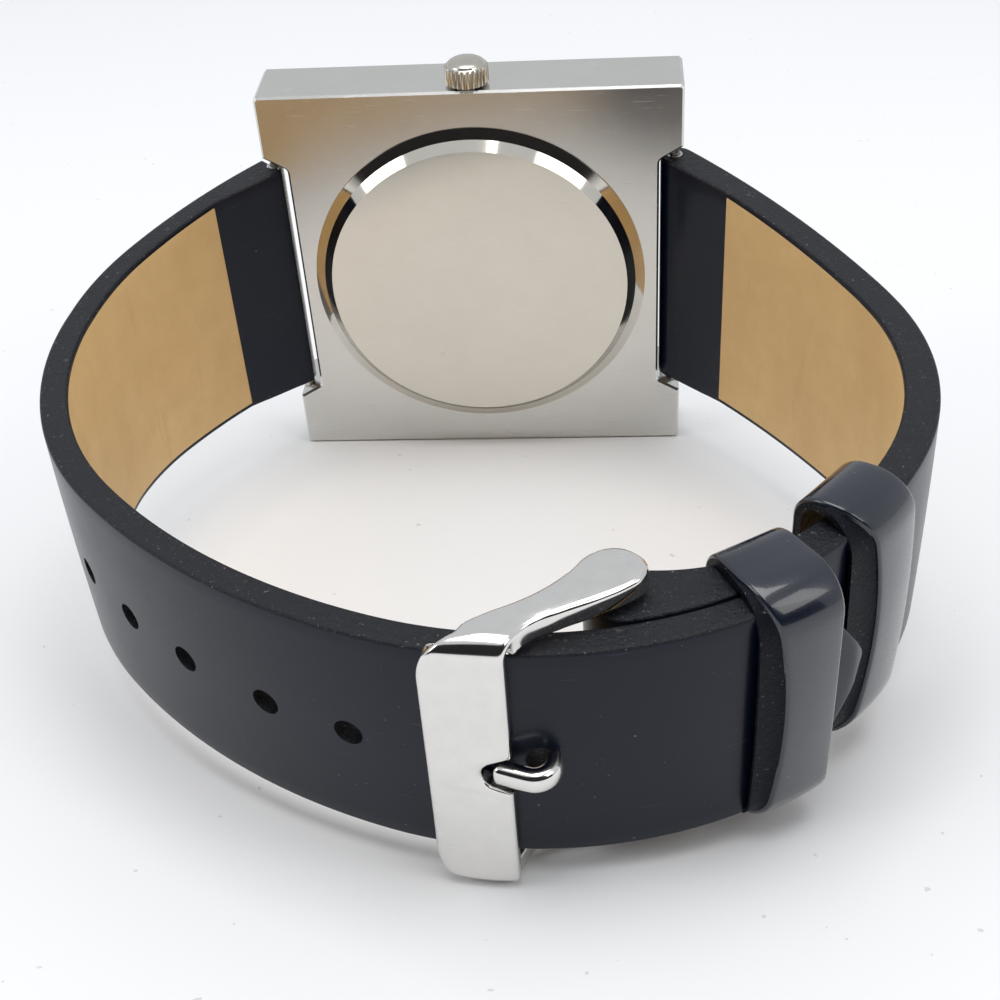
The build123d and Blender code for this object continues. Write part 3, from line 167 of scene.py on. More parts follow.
def outward(piece):
    """Merge the points that meet in a closed piece, and turn its faces outwards."""
    form = bmesh.new()
    form.from_mesh(piece.data)
    bmesh.ops.remove_doubles(form, verts=form.verts, dist=MERGE_DISTANCE * MM)
    bmesh.ops.recalc_face_normals(form, faces=form.faces)
    form.to_mesh(piece.data)
    form.free()


def shade_round(piece, angle):
    """Smooth shading, with an edge kept sharp where its faces meet at more than an angle in degrees."""
    piece.data.shade_smooth()
    piece.data.set_sharp_from_angle(angle=math.radians(angle))


def sheet_finish():
    """Pale matt paper with a very faint cloudiness and a few specks of dust."""
    finish, shader, spot = new_finish("pale_sheet", Roughness=0.75, Specular_IOR_Level=0.15)
    cloud = spot.noise(14.0, 3.0)
    dust = spot.noise(900.0, 1.0).step(0.79, 0.80)
    paper = cloud.blend(SHEET_COLOUR, SHEET_CLOUD)
    connect(shader, Base_Color=(dust * DUST_STRENGTH).blend(paper, DUST_COLOUR))
    return finish


slope = BUCKLE_LOW.z / (BUCKLE_LOW.y - BACK_Y)
sheet_ends = ((-SHEET_HALF, SHEET_FRONT_Y), (SHEET_HALF, SHEET_FRONT_Y), (SHEET_HALF, SHEET_BACK_Y),
              (-SHEET_HALF, SHEET_BACK_Y))
sheet_corners = [Vector((x, y, slope * (y - BACK_Y))) for x, y in sheet_ends]
sheet = mesh_piece("table_sheet", sheet_corners, [(0, 1, 2, 3)], [sheet_finish()])

# Light and camera: a large soft lamp overhead, a soft lamp on each side, a pale room all round, and a dark
# card on the camera's side for the polished steel to show. The camera's place was solved from the
# photograph.

LAMP_TARGET = Vector((0.0, -30.0, 18.0))
OVERHEAD_SPOT = Vector((10.0, -10.0, 700.0))
OVERHEAD_SIDE = 460
OVERHEAD_POWER = 2.6
SIDE_LAMP_REACH = 560.0
SIDE_LAMP_POWER = 0.5
SIDE_LAMP_COLOUR = (1.0, 0.985, 0.96)
LEFT_LAMP_SIZE = (240, 240)
RIGHT_LAMP_SIZE = (230, 260)
LEFT_LAMP_WAY = Vector((-0.79, -0.26, 0.55))
RIGHT_LAMP_WAY = Vector((0.68, -0.36, 0.64))
CAMERA_SPOT = Vector((13.15, -133.2, 97.8))
CAMERA_RIGHT = Vector((0.997, 0.0518, -0.0569))
CAMERA_UP = Vector((0.0113, 0.6334, 0.7737))
CAMERA_FOCAL = 1544
PHOTO_WIDTH = 1000
SENSOR = 36
CLIP_START = 0.005
ROOM_COLOUR = (0.69, 0.71, 0.74, 1)
CARD_DARK = (0.030, 0.028, 0.028, 1)
CARD_LIGHT = (0.040, 0.037, 0.037, 1)
CARD_Y = -1150.0
CARD_HALF = 2700.0
CARD_BOTTOM = -400.0
CARD_TOP = 1990.0


def lamp(name, spot, width, height, power, colour=(1, 1, 1)):
    """A soft rectangular lamp, placed in millimetres and aimed at the watch."""
    data = bpy.data.lights.new(name, "AREA")
    data.shape = "RECTANGLE"
    data.size = width * MM
    data.size_y = height * MM
    data.energy = power
    data.color = colour
    holder = new_object(name, data)
    holder.location = spot * MM
    holder.rotation_euler = (LAMP_TARGET - spot).to_track_quat("-Z", "Y").to_euler()


lamp("overhead_lamp", OVERHEAD_SPOT, OVERHEAD_SIDE, OVERHEAD_SIDE, OVERHEAD_POWER)
side_lamps = (("left_lamp", LEFT_LAMP_WAY, LEFT_LAMP_SIZE), ("right_lamp", RIGHT_LAMP_WAY, RIGHT_LAMP_SIZE))
for name, way, size in side_lamps:
    lamp(name, LAMP_TARGET + way * SIDE_LAMP_REACH, *size, SIDE_LAMP_POWER, SIDE_LAMP_COLOUR)

world = bpy.data.worlds.new("studio")
bpy.context.scene.world = world
world.use_nodes = True
room = world.node_tree.nodes["Background"]
room.inputs["Color"].default_value = ROOM_COLOUR
room.inputs["Strength"].default_value = 1.0

card_finish, card_shader, card_spot = new_finish("dark_card", Roughness=0.9, Specular_IOR_Level=0.0)
connect(card_shader, Base_Color=card_spot.noise(3.0, 2.0).blend(CARD_DARK, CARD_LIGHT))
card_ends = ((-CARD_HALF, CARD_BOTTOM), (-CARD_HALF, CARD_TOP), (CARD_HALF, CARD_TOP),
             (CARD_HALF, CARD_BOTTOM))
card = mesh_piece("dark_card", [Vector((x, CARD_Y, z)) for x, z in card_ends], [(0, 1, 2, 3)], [card_finish])
card.visible_camera = False

camera_data = bpy.data.cameras.new("photo_camera")
camera_data.sensor_width = SENSOR
camera_data.lens = SENSOR * CAMERA_FOCAL / PHOTO_WIDTH
camera_data.clip_start = CLIP_START
camera = new_object("photo_camera", camera_data)
camera_turn = Matrix((CAMERA_RIGHT, CAMERA_UP, CAMERA_RIGHT.cross(CAMERA_UP))).transposed()
camera.matrix_world = Matrix.Translation(CAMERA_SPOT * MM) @ camera_turn.to_4x4()
bpy.context.scene.camera = camera
bpy.context.scene.view_settings.view_transform = "Standard"

# Case middle: a square slab milled from steel and lightly satined, with a notch for each strap end. Its
# back is buffed, which rounds it off a little towards its edges.

CASE_HALF = 19.5
MIDDLE_Z = 19.5
BUFFED_BAND = 1.6
BUFFED_DROP = 0.10
# Notch shade: the notches where the strap ends sit are painted near-black as painted shade.
NOTCH_SHADE_X = 16.95
NOTCH_SHADE_HALF = 12.7
NOTCH_SHADE_SOFT_X = 0.25
NOTCH_SHADE_SOFT_HALF = 0.6
NOTCH_SHADE = (0.03, 0.028, 0.025, 1)
BUFFED_DARK = (0.61, 0.60, 0.57, 1)
BUFFED_LIGHT = (0.69, 0.68, 0.655, 1)
BUFFED_WORN = (0.78, 0.77, 0.75, 1)


def dress(material, *nodes):
    """Give CAD pieces a finish."""
    for node in nodes:
        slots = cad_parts[node].data.materials
        slots.clear()
        slots.append(material)


def case_finish():
    """Buffed steel, hazed, scratched and nicked, falling off at its edges, with painted shade in its notches.
    """
    finish, shader, spot = new_finish("case_steel", Metallic=1.0)
    across = spot.part(0).maths("ABSOLUTE")
    up = (spot.part(2) - MIDDLE_Z * MM).maths("ABSOLUTE")
    inside = CASE_HALF * MM - across.maths("MAXIMUM", up)
    fall = inside.step(0.0, BUFFED_BAND * MM)
    haze = spot.noise(150.0, 4.0, 0.6)
    scratches = spot.scratches(300, 7000, (0.2, 0.5, 0.3), 0.66, 0.72)
    nicks = spot.noise(2200.0, 2.0).step(0.78, 0.82)
    # Painted shade: the notches under the strap ends are coloured near-black and made rougher.
    sideways = across.step(NOTCH_SHADE_X * MM, (NOTCH_SHADE_X + NOTCH_SHADE_SOFT_X) * MM)
    notch_shade_mask = sideways * (1 - up.step(NOTCH_SHADE_HALF * MM, (NOTCH_SHADE_HALF + NOTCH_SHADE_SOFT_HALF) * MM))
    worn = (scratches * 0.14).blend(haze.blend(BUFFED_DARK, BUFFED_LIGHT), BUFFED_WORN)
    connect(shader, Base_Color=(notch_shade_mask * 0.94).blend(worn, NOTCH_SHADE),
            Roughness=0.17 + haze * 0.10 + scratches * 0.06 + notch_shade_mask * 0.4,
            Normal=(nicks * -1.0).bump(0.3, 0.00004, fall.bump(1.0, BUFFED_DROP * MM)))
    return finish


dress(case_finish(), "case_middle")

# Snap-on back: a pressed steel disc. Its flat face is satined and left bare, and its sloping wall is
# polished.

BACK_FACE_RADIUS = 14.3
WALL_SOFTNESS = 0.05
WALL_ROUGHNESS = 0.07
SATIN_DARK = (0.63, 0.595, 0.525, 1)
SATIN_LIGHT = (0.69, 0.655, 0.59, 1)
SATIN_WORN = (0.86, 0.85, 0.82, 1)


def back_finish():
    """Satin face with a fine grain, hazed and scratched, inside a mirror-bright wall."""
    finish, shader, spot = new_finish("back_steel", Metallic=1.0)
    across = spot.part(0)
    up = spot.part(2) - MIDDLE_Z * MM
    radius = (across * across + up * up).maths("SQRT")
    wall = radius.step((BACK_FACE_RADIUS - WALL_SOFTNESS) * MM, (BACK_FACE_RADIUS + WALL_SOFTNESS) * MM)
    haze = spot.noise(320.0, 4.0, 0.6)
    fine = spot.noise(6000.0, 2.0)
    scratches = spot.scratches(500, 6000, (0.4, 0.9, 0.1), 0.67, 0.73)
    satin = 0.34 + haze * 0.08 + fine * 0.05
    connect(shader, Base_Color=(scratches * 0.2).blend(haze.blend(SATIN_DARK, SATIN_LIGHT), SATIN_WORN),
            Roughness=satin - wall * (satin - WALL_ROUGHNESS), Normal=(fine * (1 - wall)).bump(0.25, 0.00002))
    return finish


dress(back_finish(), "case_back")

# Crown: turned steel with straight flutes and a low dome, screwed to the stem. It sits on a tube pressed
# into the case, round which its gasket seals.

CROWN_Y = -1.7
CROWN_PROFILE = ((1.3, 39.2), (1.78, 39.2), (1.9, 39.32), (1.9, 40.75), (1.82, 40.9), (1.7, 40.96),
                 (1.62, 41.12), (1.35, 41.27), (1.0, 41.34), (0.5, 41.385), (0.0, 41.4))
CROWN_CAVITY = ((1.3, 39.2), (1.3, 40.0), (0.46, 40.0), (0.46, 40.7), (0.0, 40.7))
FLUTES = 24
FLUTE_STEPS = 8
FLUTE_LIFT = 0.1
FLUTES_FROM = 39.3
FLUTES_TO = 40.8
CROWN_SHARP = 35
STEEL_WORN = (0.9, 0.9, 0.88, 1)
STEEL_SHADE = 0.86


def skin_faces(rows, count, closed=False):
    """Faces between closed rings of equal length; the last ring can be joined to the first."""
    faces = []
    for row in range(rows if closed else rows - 1):
        start = row * count
        follower = (row + 1) % rows * count
        for spot in range(count):
            after = (spot + 1) % count
            faces.append((start + spot, start + after, follower + after, follower + spot))
    return faces


def crown_rings():
    """Rings up the crown's outside, waved where the flutes are, and down its inside."""
    rings = []
    for radius, height in reversed(CROWN_CAVITY):
        rings.append((radius, height, 0.0))
    for radius, height in CROWN_PROFILE[1:]:
        fluted = 1.0 if FLUTES_FROM < height < FLUTES_TO else 0.0
        rings.append((radius, height, fluted))
    return rings


def steel_finish(name, colour, roughness, lines):
    """Steel with scratches, haze and fine lines, for small machined pieces."""
    finish, shader, spot = new_finish(name, Metallic=1.0)
    haze = spot.noise(700.0, 4.0, 0.6)
    brushed = spot.stretch((lines * 0.03, lines, lines)).noise(1.0, 3.0)
    scratches = spot.scratches(900, 9000, (0.3, 0.6, 0.2), 0.68, 0.74)
    dark = tuple(value * STEEL_SHADE for value in colour[:3]) + (1,)
    connect(shader, Base_Color=(scratches * 0.25).blend(haze.blend(dark, colour), STEEL_WORN),
            Roughness=roughness + haze * 0.07 + brushed * 0.05, Normal=brushed.bump(0.12, 0.00001))
    return finish


crown_steel = steel_finish("crown_steel", (0.60, 0.57, 0.50, 1), 0.16, 9000.0)
crown_points = []
crown_steps = FLUTES * FLUTE_STEPS
crown_profile = crown_rings()
for radius, height, fluted in crown_profile:
    for step in range(crown_steps):
        angle = 2 * math.pi * step / crown_steps
        wave = FLUTE_LIFT * fluted * math.cos(FLUTES * angle)
        reach = radius + wave
        crown_points.append(Vector((reach * math.cos(angle), CROWN_Y + reach * math.sin(angle), height)))
crown_cap = mesh_piece("crown_cap", crown_points, skin_faces(len(crown_profile), crown_steps), [crown_steel])
outward(crown_cap)
shade_round(crown_cap, CROWN_SHARP)
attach(crown_cap, "crown")
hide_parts("crown")
dress(steel_finish("tube_steel", (0.62, 0.61, 0.58, 1), 0.25, 9000.0), "crown_tube")

# Dial: a square brass plate lacquered satin black, with a fine sunray grain and a printed minute track. A
# steel ring holds it down.

DIAL_FRONT_Y = 0.9
TICK_COUNT = 60
TICK_RADIUS = 13.55
TICK_LENGTH = 0.55
TICK_WIDTH = 0.12
PRINT_HEIGHT = 0.02
RAY_COUNT = 60.0
LACQUER_DARK = (0.010, 0.010, 0.012, 1)
LACQUER_LIGHT = (0.030, 0.031, 0.035, 1)
LACQUER_DUST = (0.3, 0.3, 0.3, 1)
PRINT_DARK = (0.66, 0.65, 0.62, 1)
PRINT_LIGHT = (0.78, 0.77, 0.74, 1)


def dial_finish():
    """Satin black lacquer with a faint sunray grain from the middle and a little dust."""
    finish, shader, spot = new_finish("dial_lacquer", Coat_Weight=0.2, Coat_Roughness=0.1)
    angle = (spot.part(2) - MIDDLE_Z * MM).maths("ARCTAN2", spot.part(0))
    around = Wire(finish.node_tree, None).put("ShaderNodeCombineXYZ", None, {"X": angle * RAY_COUNT})
    rays = around.noise(1.0, 4.0, 0.6)
    dust = spot.noise(4200.0, 2.0).step(0.76, 0.78)
    shade = rays.blend(LACQUER_DARK, LACQUER_LIGHT)
    connect(shader, Base_Color=(dust * 0.4).blend(shade, LACQUER_DUST), Roughness=0.26 + rays * 0.16,
            Normal=rays.bump(0.05, 0.00001))
    return finish


def print_finish():
    """Pale dial ink, slightly uneven."""
    finish, shader, spot = new_finish("dial_print")
    ink = spot.noise(5000.0, 3.0)
    connect(shader, Base_Color=ink.blend(PRINT_DARK, PRINT_LIGHT), Roughness=0.45 + ink * 0.2)
    return finish


def track_tree(ink):
    """Geometry Nodes for a ring of printed ticks: a small bar at each point of a circle, turned outwards."""
    tree = bpy.data.node_groups.new("minute_track", "GeometryNodeTree")
    sockets = (("Count", "NodeSocketInt"), ("Radius", "NodeSocketFloat"), ("Bar", "NodeSocketVector"))
    for name, kind in sockets:
        tree.interface.new_socket(name, in_out="INPUT", socket_type=kind)
    tree.interface.new_socket("Geometry", in_out="OUTPUT", socket_type="NodeSocketGeometry")
    start = tree.nodes.new("NodeGroupInput")
    count, radius, bar_size = (Wire(tree, start.outputs[name]) for name in ("Count", "Radius", "Bar"))
    base = Wire(tree, None)
    circle = base.put("GeometryNodeMeshCircle", None, {"Vertices": count, "Radius": radius})
    bar = base.put("GeometryNodeMeshCube", None, {"Size": bar_size})
    place = base.put("GeometryNodeInputPosition")
    turn = base.put("FunctionNodeAlignRotationToVector", {"axis": "X"}, {"Vector": place})
    bars = base.put("GeometryNodeInstanceOnPoints", None,
                    {"Points": circle, "Instance": bar, "Rotation": turn})
    real = base.put("GeometryNodeRealizeInstances", None, {"Geometry": bars})
    inked = base.put("GeometryNodeSetMaterial", None, {"Geometry": real, "Material": ink})
    end = tree.nodes.new("NodeGroupOutput")
    tree.links.new(inked.socket, end.inputs["Geometry"])
    return tree


dress(dial_finish(), "dial")
ink = print_finish()
minute_track = mesh_piece("minute_track", [], [], [ink])
track = minute_track.modifiers.new("track", "NODES")
track.node_group = track_tree(ink)
track_values = {"Count": TICK_COUNT, "Radius": TICK_RADIUS * MM,
                "Bar": (TICK_LENGTH * MM, TICK_WIDTH * MM, PRINT_HEIGHT * MM)}
for item in track.node_group.interface.items_tree:
    if item.name in track_values:
        track[item.identifier] = track_values[item.name]
track_mesh = settled_mesh(minute_track)
minute_track.modifiers.clear()
track_mesh.transform(Matrix.Translation(Vector((0, DIAL_FRONT_Y + PRINT_HEIGHT / 2, MIDDLE_Z)) * MM)
                     @ Matrix.Rotation(math.pi / 2, 4, "X"))
minute_track.data = track_mesh
outward(minute_track)
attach(minute_track, "watch")
dress(steel_finish("ring_steel", (0.62, 0.61, 0.60, 1), 0.18, 700.0), "dial_ring")

# Indices and hands: polished steel bars set on the dial, and three hands pressed on the wheels behind it.

hand_steel = steel_finish("hand_steel", (0.84, 0.83, 0.81, 1), 0.08, 1500.0)
dress(hand_steel, "dial_indices", "hour_hand", "minute_hand", "second_hand")

# Crystal: flat mineral glass in a black gasket, pressed into the front of the case.

GLASS_TINT = (0.97, 0.985, 0.98, 1)
RUBBER_DARK = (0.012, 0.012, 0.012, 1)
RUBBER_LIGHT = (0.03, 0.03, 0.03, 1)


def glass_finish():
    """Clear mineral glass with faint wiping haze and a few fine scratches."""
    finish, shader, spot = new_finish("mineral_glass", Base_Color=GLASS_TINT, Transmission_Weight=1.0,
                                      IOR=1.5)
    scratches = spot.scratches(250, 6500, (0.2, 0.8, 0.4), 0.70, 0.74)
    haze = spot.noise(120.0, 4.0)
    connect(shader, Roughness=scratches * 0.05 + haze * 0.004)
    return finish


def rubber_finish():
    """Matt black rubber with a moulded grain."""
    finish, shader, spot = new_finish("black_rubber", Specular_IOR_Level=0.3)
    grain = spot.noise(6000.0, 3.0)
    connect(shader, Base_Color=grain.blend(RUBBER_DARK, RUBBER_LIGHT),
            Roughness=0.6 + grain * 0.2, Normal=grain.bump(0.4, 0.00003))
    return finish


dress(glass_finish(), "crystal")
dress(rubber_finish(), "crystal_gasket", "case_back_gasket", "crown_gasket")

# Movement holder and quartz movement: a moulded ring holds a brass plate with a steel bridge, the wheels,
# the battery under its clamp, the coil on its core, and the circuit board. It all lies between the dial and
# the back.

COPPER_DARK = (0.60, 0.26, 0.12, 1)
COPPER_LIGHT = (0.78, 0.40, 0.22, 1)
WINDINGS_PER_METRE = 11000.0


def moulded_finish(name, first, second, roughness):
    """Moulded or laminated plastic, clouded and finely grained."""
    finish, shader, spot = new_finish(name)
    cloud = spot.noise(400.0, 4.0)
    grain = spot.noise(7000.0, 2.0)
    connect(shader, Base_Color=cloud.blend(first, second), Roughness=roughness + grain * 0.15,
            Normal=grain.bump(0.3, 0.00002))
    return finish


def winding_finish():
    """Enamelled copper wire, wound round the core in close turns."""
    finish, shader, spot = new_finish("coil_copper", Metallic=1.0)
    turns = (spot.part(0) * WINDINGS_PER_METRE).maths("PINGPONG", 0.5) * 2.0
    varnish = spot.noise(900.0, 3.0)
    connect(shader, Base_Color=varnish.blend(COPPER_DARK, COPPER_LIGHT),
            Roughness=0.24 + varnish * 0.12, Normal=turns.bump(0.6, 0.00004))
    return finish


dress(moulded_finish("ring_white", (0.70, 0.70, 0.67, 1), (0.80, 0.80, 0.77, 1), 0.4), "movement_ring")
dress(moulded_finish("board_green", (0.03, 0.16, 0.08, 1), (0.06, 0.25, 0.13, 1), 0.3), "circuit_board")
dress(moulded_finish("chip_black", (0.015, 0.015, 0.015, 1), (0.03, 0.03, 0.03, 1), 0.35), "circuit_chip")
dress(winding_finish(), "coil_winding")
dress(steel_finish("wheel_brass", (0.76, 0.57, 0.27, 1), 0.24, 9000.0), "main_plate", "intermediate_wheel",
      "second_wheel", "third_wheel", "centre_wheel", "minute_wheel", "hour_wheel")
dress(steel_finish("movement_steel", (0.66, 0.66, 0.66, 1), 0.26, 8000.0), "stem", "train_bridge",
      "bridge_screws", "setting_cover", "setting_lever", "yoke", "clutch_wheel", "battery", "battery_clamp",
      "quartz_can", "stator", "coil_core", "rotor")

# Bars: steel tubes through the lug ends and the buckle's fold, each with a sprung pin at either end.

dress(steel_finish("bar_steel", (0.60, 0.59, 0.57, 1), 0.22, 8000.0), "lug_bar_tubes", "buckle_bar_tube",
      "lug_pin_right_top", "lug_pin_right_bottom", "lug_pin_left_top", "lug_pin_left_bottom",
      "buckle_pin_top", "buckle_pin_bottom")

# Long strap: smooth black leather over a tan lining, cut to a V at its tip and punched for the buckle, with
# its edges burnished and painted black. It runs from the lug bar round the wrist and out through both
# keepers.

LOOP_X = 7.2
LOOP_Y = -31.3
ROW_SPACING = 0.5
STRAIGHT_STEPS = 14
ROUND_END_STEPS = 10
SMALLEST_GAP = 0.05
FACE_STEPS = 8
CORNER_STEPS = 4
SIDE_STEPS = 5
SECTION_HALF = 2 * FACE_STEPS + 2 * CORNER_STEPS + SIDE_STEPS
EDGE_FIRST = FACE_STEPS + 1
EDGE_LAST = FACE_STEPS + 2 * CORNER_STEPS + SIDE_STEPS - 1
CORNER_ANGLES = [math.pi / 2 * step / CORNER_STEPS for step in range(1, CORNER_STEPS + 1)]
ROUND_SIDES = 48
STRAP_WIDTHS = ((-74.0, 9.65), (-42.0, 9.65), (-24.0, 10.2), (4.0, 12.3))
TIP_POLAR = -45.9
LONG_LINED_ARCS = ((33.45, 62.5), (51.9, 29.8), (30.2, 68.0), (62.8, 8.7))
LONG_END_ARC = (62.8, 7.3)
LONG_THICKNESS = 2.27
TIP_BLUNT = 0.6
TIP_SLOPE = 0.70
LUG_BAR_X = 18.75
LUG_BAR_Y = -1.7
LUG_LOOP_RADIUS = 1.3
BAR_HOLE_RADIUS = 0.8
CROWNING = 0.08
EDGE_ROUND = 0.28
LINING_ROUND = 0.22
EDGE_SHARES = (0.45, 0.9)
LINING_SHARES = (0.3, 0.5)
TIP_THIN = 0.55
TIP_SWELL = 0.45
TIP_TAPER = 1.2
LEATHER_SHARP = 40
LEATHER_WORN = (0.20, 0.21, 0.24, 1)
EDGE_DARK = (0.005, 0.006, 0.010, 1)
# Painted reflection: the lighter colour that the lines between the edge's layers take.
EDGE_LINE_SHEEN = (0.060, 0.066, 0.080, 1)
EDGE_WORN = (0.34, 0.33, 0.32, 1)
LAYERS = 3.4
HOLE_PITCH = 7.13
HOLE_ROD_LENGTH = 8.0
BAR_ROD_LENGTH = 40.0
HOLE_COUNT = 7
HOLE_RADIUS = 1.1
TANG_HOLE_RADIUS = 1.2
TANG_HOLE_POLAR = -87.1


def polar_point(radius, angle):
    """Point at a polar place about the middle of the strap loop, seen from the crown side."""
    turn = math.radians(angle)
    return Vector((LOOP_X + radius * math.cos(turn), LOOP_Y + radius * math.sin(turn)))


def standing(place, height=0.0):
    """A flat place as a point at a height from the watch's middle."""
    return Vector((place.x, place.y, MIDDLE_Z + height))


def direction(angle):
    """The flat direction at an angle in radians."""
    return Vector((math.cos(angle), math.sin(angle)))


def bearing(place, centre):
    """The angle in radians at which a flat place is seen from a centre."""
    return math.atan2(place.y - centre.y, place.x - centre.x)


def turned(vector, angle):
    """A flat vector turned left by degrees."""
    return Matrix.Rotation(math.radians(angle), 2) @ vector


def walk_arcs(start, heading, side, arcs):
    """Stations along tangent arcs: the place, the direction towards the wrist and the length walked."""
    stations = []
    walked = 0.0
    point = start
    for radius, turn in arcs:
        inward = turned(Vector((0, side)), heading)
        centre = point + inward * radius
        steps = max(2, round(math.radians(turn) * radius / ROW_SPACING))
        for step in range(0 if not stations else 1, steps + 1):
            angle = side * turn * step / steps
            spot = centre + turned(point - centre, angle)
            stations.append((spot, (centre - spot).normalized(), walked + math.radians(abs(angle)) * radius))
        walked = stations[-1][2]
        point = stations[-1][0]
        heading = heading + side * turn
    return stations


def round_end(first, last, centre, radius):
    """Pairs of points that close a strap round a bar: both sides run round the circle until they meet."""
    start = bearing(first, centre)
    stop = bearing(last, centre)
    inner = (first + last) / 2 - centre
    sweep = (stop - start) % (2 * math.pi)
    if direction(start + sweep / 2).dot(inner) > 0 and inner.length > radius * SMALLEST_GAP:
        sweep = sweep - 2 * math.pi
    pairs = []
    for step in range(1, ROUND_END_STEPS):
        share = math.sin(step / ROUND_END_STEPS * math.pi / 2) / 2
        angles = (start + sweep * share, stop - sweep * share)
        pairs.append(tuple(centre + direction(angle) * radius for angle in angles))
    return pairs


def half_width(place):
    """Half the strap's width at a flat place: it narrows from the lugs to the buckle."""
    for (low, narrow), (high, wide) in zip(STRAP_WIDTHS, STRAP_WIDTHS[1:]):
        if place.y <= high:
            share = max(0.0, (place.y - low) / (high - low))
            return narrow + (wide - narrow) * share
    return STRAP_WIDTHS[-1][1]


def tip_reach(walked):
    """Half the long strap's width near its tip, by the length walked from it."""
    return TIP_BLUNT + walked / TIP_SLOPE


def strap_section(half, thickness):
    """Ring of (across, depth) points round the strap: crowned face, painted edges, lining side."""
    rounding = min(EDGE_ROUND, thickness * EDGE_SHARES[0], half * EDGE_SHARES[1])
    low_rounding = min(LINING_ROUND, thickness * LINING_SHARES[0], half * LINING_SHARES[1])
    crown = CROWNING * min(1.0, thickness / LONG_THICKNESS)
    right = []
    for step in range(FACE_STEPS + 1):
        right.append((half * step / FACE_STEPS - rounding * step / FACE_STEPS,
                      crown * (step / FACE_STEPS) ** 2))
    for angle in CORNER_ANGLES:
        right.append((half - rounding + rounding * math.sin(angle),
                      crown + rounding - rounding * math.cos(angle)))
    low = crown + rounding
    high = thickness - low_rounding
    for step in range(1, SIDE_STEPS + 1):
        right.append((half, low + (high - low) * step / SIDE_STEPS))
    for angle in CORNER_ANGLES:
        right.append((half - low_rounding + low_rounding * math.cos(angle),
                      high + low_rounding * math.sin(angle)))
    for step in range(1, FACE_STEPS + 1):
        right.append(((half - low_rounding) * (1 - step / FACE_STEPS), thickness))
    left = [(-across, depth) for across, depth in reversed(right[1:-1])]
    return right + left


def strap_picks():
    """Which material each strip of the section takes: 0 on the faces, 1 on the painted edges."""
    right = [1 if EDGE_FIRST <= strip <= EDGE_LAST else 0 for strip in range(SECTION_HALF)]
    return right + right[::-1]


def lofted_piece(name, rings, materials, picks=None, depths=None):
    """A skin over closed rings of equal length in millimetres, with a fan of faces over each end."""
    count = len(rings[0])
    points = [point for ring in rings for point in ring]
    faces = skin_faces(len(rings), count)
    slots = (picks or [0] * count) * (len(rings) - 1)
    for first in (0, (len(rings) - 1) * count):
        middle = sum((points[first + spot] for spot in range(count)), Vector()) / count
        points.append(middle)
        for spot in range(count):
            faces.append((first + spot, first + (spot + 1) % count, len(points) - 1))
            slots.append(1 if picks else 0)
    piece = mesh_piece(name, points, faces, materials)
    piece.data.polygons.foreach_set("material_index", slots)
    if picks:
        layer = piece.data.attributes.new("depth", "FLOAT", "POINT")
        layer.data.foreach_set("value", [depths[number % count] for number in range(len(points))])
    outward(piece)
    return piece


def strap_rings(pairs):
    """Rings of a strap from pairs of flat points on its outer and wrist faces, with a width for each."""
    rings = []
    for outer, inner, half in pairs:
        depth = (inner - outer).length
        towards = (inner - outer) / depth
        rings.append([standing(outer + towards * down, across)
                      for across, down in strap_section(half, depth)])
    return rings


def touching_circle(point, inward, bar, bar_radius):
    """Centre and radius of the circle through a point, centred inwards of it, that touches a bar's circle.

    The bar's circle lies inside it, or outside where the bar's radius is negative.
    """
    gap = point - bar
    radius = (gap.length_squared - bar_radius ** 2) / (2 * (-gap.dot(inward) - bar_radius))
    return point + inward * radius, radius


def lug_pairs(point, inward, side, inner_point):
    """Pairs that close a strap round its lug bar: a straight wrist face that meets the round end smoothly."""
    bar = Vector((side * LUG_BAR_X, LUG_BAR_Y))
    centre, radius = touching_circle(point, inward, bar, LUG_LOOP_RADIUS)
    reach = inner_point - centre
    angle = math.degrees(math.acos(radius / reach.length))
    touch = centre + turned(reach.normalized(), -side * angle) * radius
    straight = []
    for step in range(1, STRAIGHT_STEPS + 1):
        straight.append((point, inner_point + (touch - inner_point) * step / STRAIGHT_STEPS))
    return straight + round_end(point, touch, centre, radius)


def lug_end(stations, heading, side, arc, thickness):
    """Pairs with their widths from the end of the lined part to the lug bar and round it."""
    end_stations = walk_arcs(stations[-1][0], heading, side, [arc])
    wrist_corner = stations[-1][0] + stations[-1][1] * thickness
    closing = lug_pairs(end_stations[-1][0], end_stations[-1][1], side, wrist_corner)
    pairs = []
    for step in range(1, STRAIGHT_STEPS + 1):
        outer = end_stations[round(step / STRAIGHT_STEPS * (len(end_stations) - 1))][0]
        pairs.append((outer, closing[step - 1][1], half_width(outer)))
    for outer, inner in closing[STRAIGHT_STEPS:]:
        pairs.append((outer, inner, half_width(outer)))
    return pairs


def leather_finish(name, colour, roughness, gloss, shine):
    """Smooth finished leather: fine pores, a faint cloudiness, hairline scratches and specks of dust."""
    finish, shader, spot = new_finish(name, Coat_Weight=gloss, Coat_Roughness=0.08, Specular_IOR_Level=shine)
    pores = spot.noise(5200.0, 3.0, 0.6)
    cloud = spot.noise(240.0, 3.0)
    hairs = spot.scratches(160, 5200, (0.35, 0.2, 0.6), 0.73, 0.77)
    specks = spot.noise(2600.0, 2.0).step(0.745, 0.77)
    shade = (hairs * 0.10 + specks * 0.5).blend(colour, LEATHER_WORN)
    height = pores * 0.6 + cloud * 0.8 - hairs * 0.3
    connect(shader, Base_Color=shade, Roughness=roughness + pores * 0.10 + cloud * 0.08 + specks * 0.2,
            Normal=height.bump(0.4, 0.00003))
    return finish


